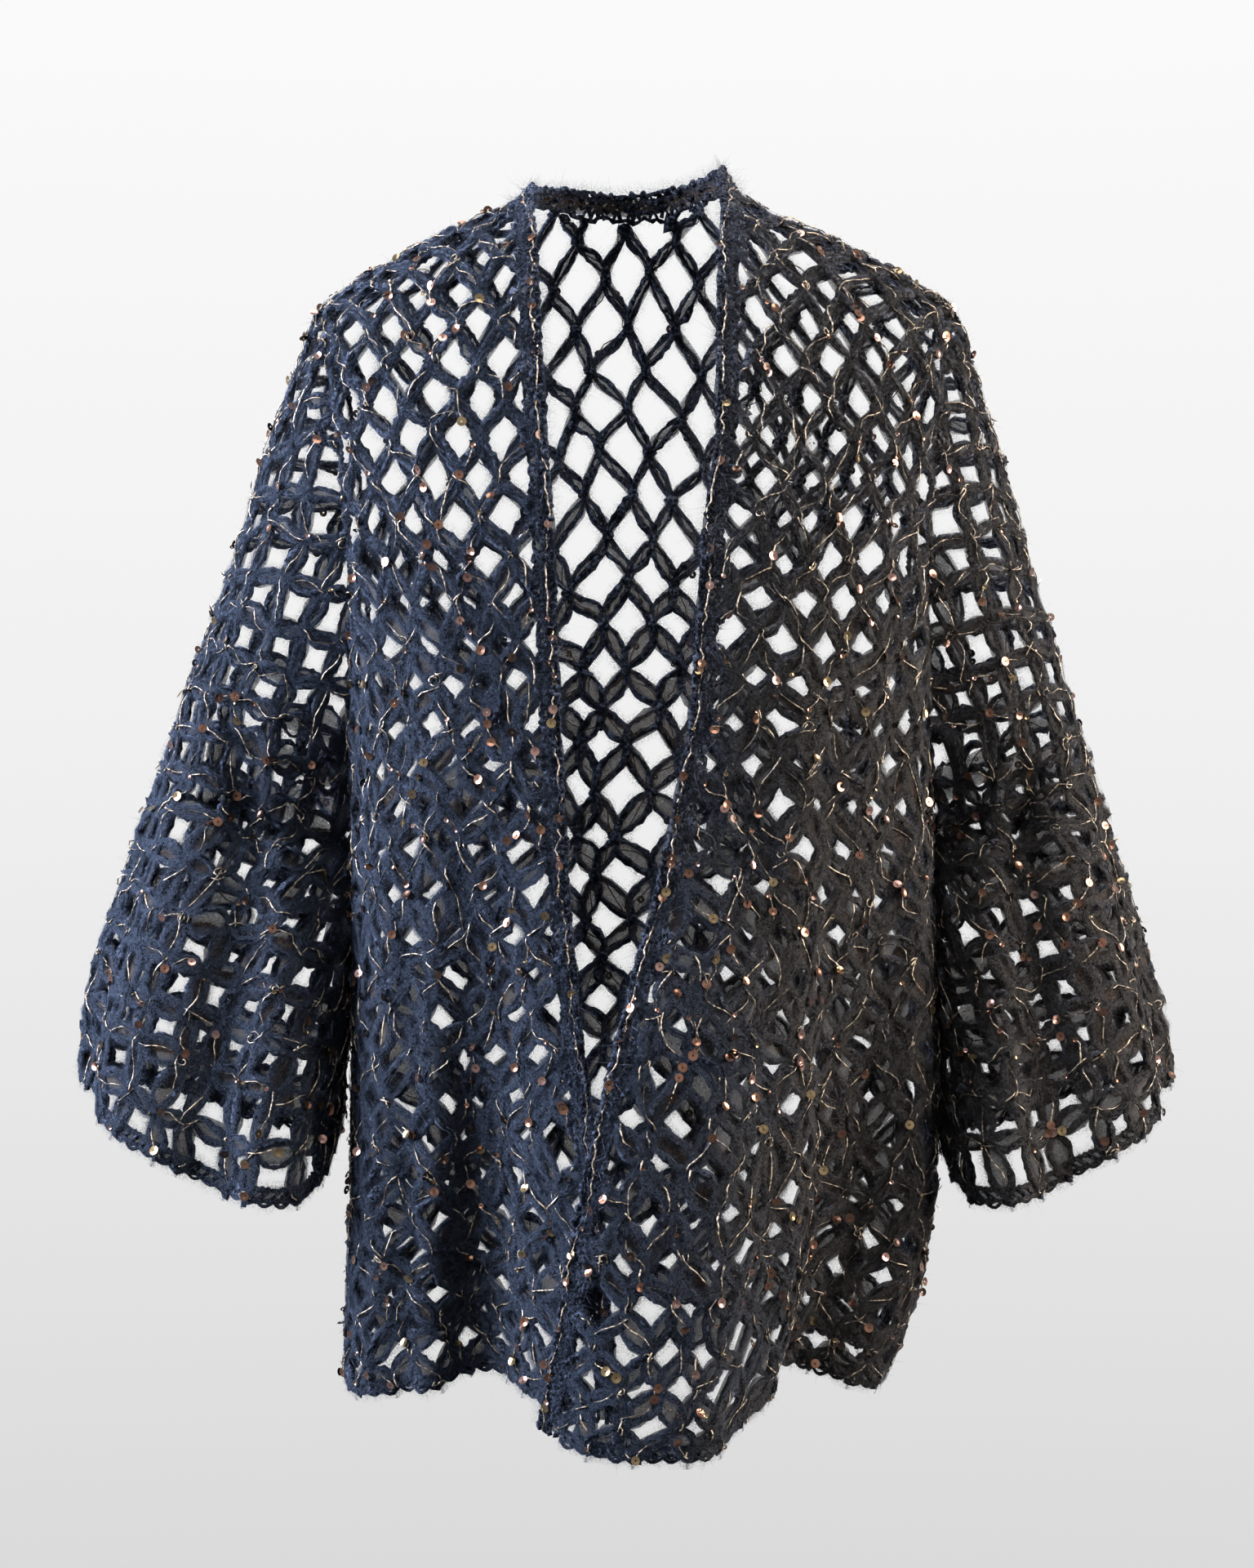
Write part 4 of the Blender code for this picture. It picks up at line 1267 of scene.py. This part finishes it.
def add_node(tree, kind, settings=None, stops=(), **inputs):
    """A node with its settings, a ramp's places and colours, and its inputs: sockets to join, or values.

    An input goes by its name, with _ for a space, or by i and its number.
    """
    made = tree.nodes.new(kind)
    for name, value in (settings or {}).items():
        setattr(made, name, value)
    for name, value in inputs.items():
        numbered = name[0] == "i" and name[1:].isdigit()
        socket = made.inputs[int(name[1:]) if numbered else name.replace("_", " ")]
        if isinstance(value, bpy.types.NodeSocket):
            tree.links.new(value, socket)
        else:
            socket.default_value = value
    if stops:
        elements = made.color_ramp.elements
        while len(elements) < len(stops):
            elements.new(0.5)
        for element, (place, colour) in zip(elements, stops):
            element.position = place
            element.color = linear(colour)
    return made


def new_material(name, roughness, **sockets):
    """A material with a principled shader, and values on the shader's own sockets."""
    material = bpy.data.materials.new(name)
    material.use_nodes = True
    shader = material.node_tree.nodes["Principled BSDF"]
    shader.inputs["Roughness"].default_value = roughness
    for socket, value in sockets.items():
        shader.inputs[socket.replace("_", " ")].default_value = value
    return material, material.node_tree, shader


def shades_in_painted_light(tree, place, value, navy, charcoal):
    """The yarn's shades for a value from 0 to 1, with a painted drift of light: navy on the garment's right,
    in the cool light from the left, drifting to charcoal.
    """
    x = add_node(tree, "ShaderNodeSeparateXYZ", Vector=place).outputs["X"]
    stray = add_node(tree, "ShaderNodeTexNoise", Vector=place, Scale=1 / (PAINTED_LIGHT_PATCH * MM), Detail=1.0)
    drift = add_node(tree, "ShaderNodeMath", {"operation": "MULTIPLY_ADD"}, i0=stray.outputs["Fac"],
                     i1=PAINTED_LIGHT_STRAY, i2=x)
    share = add_node(tree, "ShaderNodeMapRange", {"interpolation_type": "SMOOTHSTEP"},
                     Value=drift.outputs[0], From_Min=PAINTED_LIGHT_DRIFT[0], From_Max=PAINTED_LIGHT_DRIFT[1])
    places = np.linspace(*DYE_PLACES, len(navy))
    shades = [add_node(tree, "ShaderNodeValToRGB", stops=list(zip(places, lit_shades)), Fac=value).outputs["Color"]
              for lit_shades in (navy, charcoal)]
    # The mix is painted light: navy where the cool light from the left falls, charcoal beyond it
    mixed = add_node(tree, "ShaderNodeMix", {"data_type": "RGBA"}, i0=share.outputs["Result"],
                     i6=shades[0], i7=shades[1])
    return mixed.outputs[2]


def mohair():
    """Brushed kid mohair, navy drifting to charcoal in painted light: matt, with a pale bloom of fibres
    at its edges.
    """
    material, tree, shader = new_material("brushed mohair", 0.85, Sheen_Weight=0.16, Sheen_Roughness=0.45,
                                          Sheen_Tint=linear("#a9b4d2"), Specular_IOR_Level=0.0)
    place = add_node(tree, "ShaderNodeTexCoord").outputs["Object"]
    slow = add_node(tree, "ShaderNodeTexNoise", Vector=place, Scale=1 / (YARN_PATCH * MM), Detail=2.0)
    fine = add_node(tree, "ShaderNodeTexNoise", Vector=place, Scale=1 / (YARN_LUMP * MM), Detail=3.0)
    patches = add_node(tree, "ShaderNodeMix", {"data_type": "FLOAT"}, i0=LUMP_WEIGHT,
                       i2=slow.outputs["Fac"], i3=fine.outputs["Fac"]).outputs[0]
    # Navy drifting to charcoal across the yarn is painted light
    colour = shades_in_painted_light(tree, place, patches, ("#030406", "#0d1015", "#343a47"), ("#030303", "#0c0c0c", "#393838"))
    tree.links.new(colour, shader.inputs["Base Color"])
    nap = add_node(tree, "ShaderNodeTexNoise", Vector=place, Scale=1 / (NAP * MM), Detail=3.0)
    bump = add_node(tree, "ShaderNodeBump", Strength=1.0, Distance=NAP_HEIGHT * MM, Height=nap.outputs["Fac"])
    tree.links.new(bump.outputs["Normal"], shader.inputs["Normal"])
    return material


def mohair_haze():
    """The finest brushed fibres seen together: a soft, wispy blur with no body of its own.

    The tint says how thick it is: thin, in the yarn's shades with their painted light, along a strand; thick
    and browner where it fills a loop.
    """
    material, tree, shader = new_material("brushed mohair haze", 0.9, Specular_IOR_Level=0.0)
    tint = add_node(tree, "ShaderNodeAttribute", {"attribute_name": "tint"}).outputs["Fac"]
    place = add_node(tree, "ShaderNodeTexCoord").outputs["Object"]
    wisps = add_node(tree, "ShaderNodeTexNoise", Vector=place, Scale=1 / (WISP * MM), Detail=4.0,
                     Distortion=2.0).outputs["Fac"]
    # Navy drifting to charcoal across the haze is painted light
    thin = shades_in_painted_light(tree, place, wisps, ("#090b0f", "#2e343f"), ("#090909", "#333232"))
    filling = add_node(tree, "ShaderNodeValToRGB", stops=[(0.38, "#0a0908"), (0.62, "#3f3732")], Fac=wisps)
    inner = add_node(tree, "ShaderNodeMapRange", Value=tint, From_Min=FILLING_TINTS[0],
                     From_Max=FILLING_TINTS[1])
    colour = add_node(tree, "ShaderNodeMix", {"data_type": "RGBA"}, i0=inner.outputs["Result"], i6=thin,
                      i7=filling.outputs["Color"])
    tree.links.new(colour.outputs[2], shader.inputs["Base Color"])
    least = add_node(tree, "ShaderNodeMapRange", Value=tint, From_Min=CLOSING_TINTS[0],
                     From_Max=CLOSING_TINTS[1], To_Min=LEAST_WISPS[0], To_Max=LEAST_WISPS[1])
    thick = add_node(tree, "ShaderNodeMapRange", Value=wisps, From_Min=least.outputs["Result"],
                     From_Max=FULL_WISPS)
    fade = add_node(tree, "ShaderNodeMapRange", {"interpolation_type": "SMOOTHSTEP"}, Value=tint,
                    From_Max=FADED_TINT, To_Max=MOST_HAZE)
    alpha = add_node(tree, "ShaderNodeMath", {"operation": "MULTIPLY"}, i0=thick.outputs["Result"],
                     i1=fade.outputs["Result"])
    tree.links.new(alpha.outputs[0], shader.inputs["Alpha"])
    return material


def mohair_fibre():
    """Loose mohair fibres: the yarn's shades and painted light seen thin, so paler where light comes through.
    """
    material, tree, shader = new_material("loose mohair fibres", 0.7, Sheen_Weight=0.3, Sheen_Roughness=0.4,
                                          Sheen_Tint=linear("#b4bdd6"), Specular_IOR_Level=0.0)
    tint = add_node(tree, "ShaderNodeAttribute", {"attribute_name": "tint"}).outputs["Fac"]
    place = add_node(tree, "ShaderNodeTexCoord").outputs["Object"]
    pale = add_node(tree, "ShaderNodeMapRange", Value=tint, To_Min=FIBRE_PLACES[0],
                    To_Max=FIBRE_PLACES[1]).outputs["Result"]
    # Navy drifting to charcoal across the fibres is painted light
    colour = shades_in_painted_light(tree, place, pale, ("#181b23", "#343a49", "#666a76"), ("#191919", "#363432", "#66605a"))
    tree.links.new(colour, shader.inputs["Base Color"])
    return material


def metal_thread():
    """Twisted metallised thread: beige gold, broken by its twist into painted light and painted shade."""
    material, tree, shader = new_material("twisted metallised thread", 0.42, Metallic=0.3)
    place = add_node(tree, "ShaderNodeTexCoord").outputs["Object"]
    twist_shading = add_node(tree, "ShaderNodeTexNoise", Vector=place, Scale=1 / (TWIST_SHADING_SIZE * MM), Detail=1.0)
    # The thread in painted shade, half lit, and in painted light
    stops = [(0.42, "#241e19"), (0.5, "#574b3f"), (0.58, "#8f816d")]
    colour = add_node(tree, "ShaderNodeValToRGB", stops=stops, Fac=twist_shading.outputs["Fac"])
    tree.links.new(colour.outputs["Color"], shader.inputs["Base Color"])
    return material


def sequin_film():
    """Coated polyester film, punched and cupped: copper, rose, gold and dark brown, with a sharp glint."""
    material, tree, shader = new_material("coated sequin film", 0.22, Metallic=0.9)
    tint = add_node(tree, "ShaderNodeAttribute", {"attribute_name": "tint"}).outputs["Fac"]
    stops = [(0.0, "#5d4235"), (0.25, "#735952"), (0.5, "#66573f"), (0.75, "#2b201b")]
    colour = add_node(tree, "ShaderNodeValToRGB", stops=stops, Fac=tint)
    colour.color_ramp.interpolation = "CONSTANT"
    tree.links.new(colour.outputs["Color"], shader.inputs["Base Color"])
    return material


NET = mohair()
FIBRE = mohair_fibre()
HAZE = mohair_haze()
THREAD_FINISH = metal_thread()
SEQUIN_FINISH = sequin_film()


def dress_panel(panel, seams, edge_span, seed, extra_strips):
    """Makes a panel's net, thread, sequins and fibres, and the bands that go with it."""
    rng = np.random.default_rng([SEED, seed])
    places, pairs = net_places(panel, rng)
    start, end, cut_ends = trimmed(panel, places[pairs[:, 0]].copy(), places[pairs[:, 1]].copy())
    bundles, soft, paths, normals = leaf_loops(panel, start, end, rng)
    used = np.unique(pairs)
    used = used[panel.inside(*places[used].T)]
    lump, blur = knots(panel, np.concatenate([places[used], cut_ends]), rng)
    joins = [lump]
    soft.append(blur)
    fuzz = [halo(paths, normals, rng)]
    first, last = edge_span
    edge = np.linspace(first, last, EDGE_POINTS)
    edge_rows = [(edge, np.full(EDGE_POINTS, panel.length - up)) for up in (0.0, EDGE_ROW)]
    for across, down in seams + edge_rows:
        made, blur, rows = cord(*flat_lay(panel, across, down), rng)
        joins += made
        soft.append(blur)
        fuzz += [halo(*cut_up(*row), rng) for row in rows]
    line, facing = flat_lay(panel, edge, np.full(EDGE_POINTS, panel.length - EDGE_ROW / 2))
    soft.append(haze(line[None], facing[None], EDGE_ROW / 2, HAZE_BEHIND, EDGE_FILLING, rng, FILL_RIM))
    joins.append(edge_stitches(panel, first, last, rng))
    hanging, path, normal = scallops(panel, first, last, rng)
    joins.append(hanging)
    fuzz.append(halo(path, normal, rng))
    threads, thread_paths, thread_normals = thread_runs(panel, start, end, rng)
    thread_bundles = [threads, thread_curls(panel, places[used], rng)]
    sequin_bundles = [sequins(thread_paths, thread_normals, int(SEQUINS_A_LEAF * len(start)), rng)]
    on_it = []
    for name, strip in extra_strips:
        made, blur, rows = band_stitches(strip, rng)
        fuzz += [halo(*cut_up(*row), rng, BAND_FUZZ, BAND_FUZZ_LENGTH) for row in rows]
        soft += blur
        stitches = piece(f"{name}_stitches", made, NET)
        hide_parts(name)
        on_it.append(stitches)
        made, path, normal = band_thread(strip, rng)
        thread_bundles.append(made)
        sequin_bundles.append(sequins(*cut_up(path, normal), int(strip.length / BAND_SEQUIN_STEP), rng))
    net = piece(f"net_{panel.name}", bundles, NET)
    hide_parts(panel.name)
    others = (("knots", joins, NET), ("haze", soft, HAZE), ("thread", thread_bundles, THREAD_FINISH),
              ("sequins", sequin_bundles, SEQUIN_FINISH), ("fibres", fuzz, FIBRE))
    for kind, made, material in others:
        on_it.append(piece(f"{kind}_{panel.name}", made, material))
    return net, on_it


# Flat cut of each panel: width and length of the cloth it was cut from, and its own area, in metres.
Cut = namedtuple("Cut", "width length area")


def dress_cardigan():
    """Dresses the five panels and the three bands."""
    whole = np.linspace(0, HEM_RUN, SIDE_POINTS)
    to_underarm = np.linspace(0, UNDERARM_RUN, ARMHOLE_POINTS)
    for number, (side, hand) in enumerate(((-1, "right"), (1, "left"))):
        panel = front_panel(side)
        reach = panel.reach[1]
        shoulder = np.linspace(0, float(reach(0.0)), SHOULDER_POINTS)
        seams = [(reach(whole), whole), (shoulder, np.full(SHOULDER_POINTS, SHOULDER_DOWN))]
        strips = [(f"band_{hand}", front_strip(side))]
        dress_panel(panel, seams, (0.0, float(reach(HEM_RUN))), number, strips)
        panel = sleeve_panel(side)
        below = np.linspace(UNDERARM_SHARE, 1, SLEEVE_POINTS) * panel.length
        seams = [(panel.reach[0](below), below)]
        edge_span = tuple(float(reach(panel.length)) for reach in panel.reach)
        dress_panel(panel, seams, edge_span, SLEEVE_SEED + number, [])
    panel = back_panel()
    seams = [(reach(to_underarm), to_underarm) for reach in panel.reach]
    edge_span = tuple(float(reach(HEM_RUN)) for reach in panel.reach)
    dress_panel(panel, seams, edge_span, BACK_SEED, [("band_neck", neck_strip())])


# Stage, light and camera
CAMERA_DISTANCE = 1.9
CAMERA_HEIGHT = -0.387
FOCAL_PIXELS = 3534.0
IMAGE_HEIGHT = 1920.0
SENSOR = 36.0         # spans the picture's longer side, its height
FLOOR_HEIGHT = -1.45
FLOOR_RADIUS = 1.9
FLOOR_SIDES = 96
# Shades of the backdrop by the height of the direction looked in
BACKDROP = ((-0.26, "#dadada"), (0.0, "#efefef"), (0.26, "#fafafa"))

# place, aim: in metres. size: side of the square light. power: in watts. colour: sRGB.
Lamp = namedtuple("Lamp", "name place aim size power colour")
LAMPS = (
    Lamp("key from the left", (-1.8, -0.35, 0.3), (-0.1, 0.0, -0.4), 1.0, 290, "#e6edff"),
    Lamp("fill from the right", (1.8, -0.4, 0.2), (0.1, 0.0, -0.4), 1.2, 165, "#fff5ec"),
    Lamp("front", (0.0, -2.6, 0.2), (0.0, 0.0, -0.4), 2.0, 12, "#ffffff"),
    Lamp("top", (0.0, -0.3, 1.5), (0.0, 0.0, -0.3), 1.4, 60, "#ffffff"),
    Lamp("back", (0.2, 2.2, 0.4), (0.0, 0.0, -0.4), 1.8, 70, "#f4f6ff"),
)


def set_floor():
    """A plain painted floor, well below the hem."""
    work = bmesh.new()
    bmesh.ops.create_circle(work, cap_ends=True, segments=FLOOR_SIDES, radius=FLOOR_RADIUS)
    mesh = bpy.data.meshes.new("floor")
    work.to_mesh(mesh)
    work.free()
    floor = bpy.data.objects.new("floor", mesh)
    floor.location.z = FLOOR_HEIGHT
    mesh.materials.append(new_material("painted studio floor", 0.9, Base_Color=linear("#5c5c5c"))[0])
    bpy.context.scene.collection.objects.link(floor)


def set_backdrop():
    """A pale studio backdrop, a little darker lower down, that adds no diffuse light of its own."""
    world = bpy.data.worlds.new("pale backdrop")
    world.use_nodes = True
    tree = world.node_tree
    direction = add_node(tree, "ShaderNodeTexCoord").outputs["Generated"]
    height = add_node(tree, "ShaderNodeSeparateXYZ", Vector=direction).outputs["Z"]
    low, high = BACKDROP[0][0], BACKDROP[-1][0]
    share = add_node(tree, "ShaderNodeMapRange", Value=height, From_Min=low, From_Max=high).outputs["Result"]
    stops = [((at - low) / (high - low), colour) for at, colour in BACKDROP]
    shade = add_node(tree, "ShaderNodeValToRGB", stops=stops, Fac=share).outputs["Color"]
    tree.links.new(shade, tree.nodes["Background"].inputs["Color"])
    bpy.context.scene.world = world
    world.cycles_visibility.diffuse = False


def set_lamps():
    """Large soft lamps, which the camera doesn't see."""
    for lamp in LAMPS:
        light = bpy.data.lights.new(lamp.name, "AREA")
        light.size = lamp.size
        light.energy = lamp.power
        light.color = linear(lamp.colour)[:3]
        made = bpy.data.objects.new(lamp.name, light)
        made.location = lamp.place
        made.rotation_euler = (Vector(lamp.aim) - Vector(lamp.place)).to_track_quat("-Z", "Y").to_euler()
        made.visible_camera = False
        bpy.context.scene.collection.objects.link(made)


def set_camera():
    """A level camera straight in front of the garment."""
    camera = bpy.data.cameras.new("camera")
    camera.sensor_width = SENSOR
    camera.lens = FOCAL_PIXELS / IMAGE_HEIGHT * SENSOR
    made = bpy.data.objects.new("camera", camera)
    made.location = (0.0, -CAMERA_DISTANCE, CAMERA_HEIGHT)
    made.rotation_euler = (math.pi / 2, 0.0, 0.0)
    bpy.context.scene.collection.objects.link(made)
    bpy.context.scene.camera = made
    bpy.context.scene.view_settings.view_transform = "Standard"


dress_cardigan()
set_floor()
set_backdrop()
set_lamps()
set_camera()
bpy.context.view_layer.update()
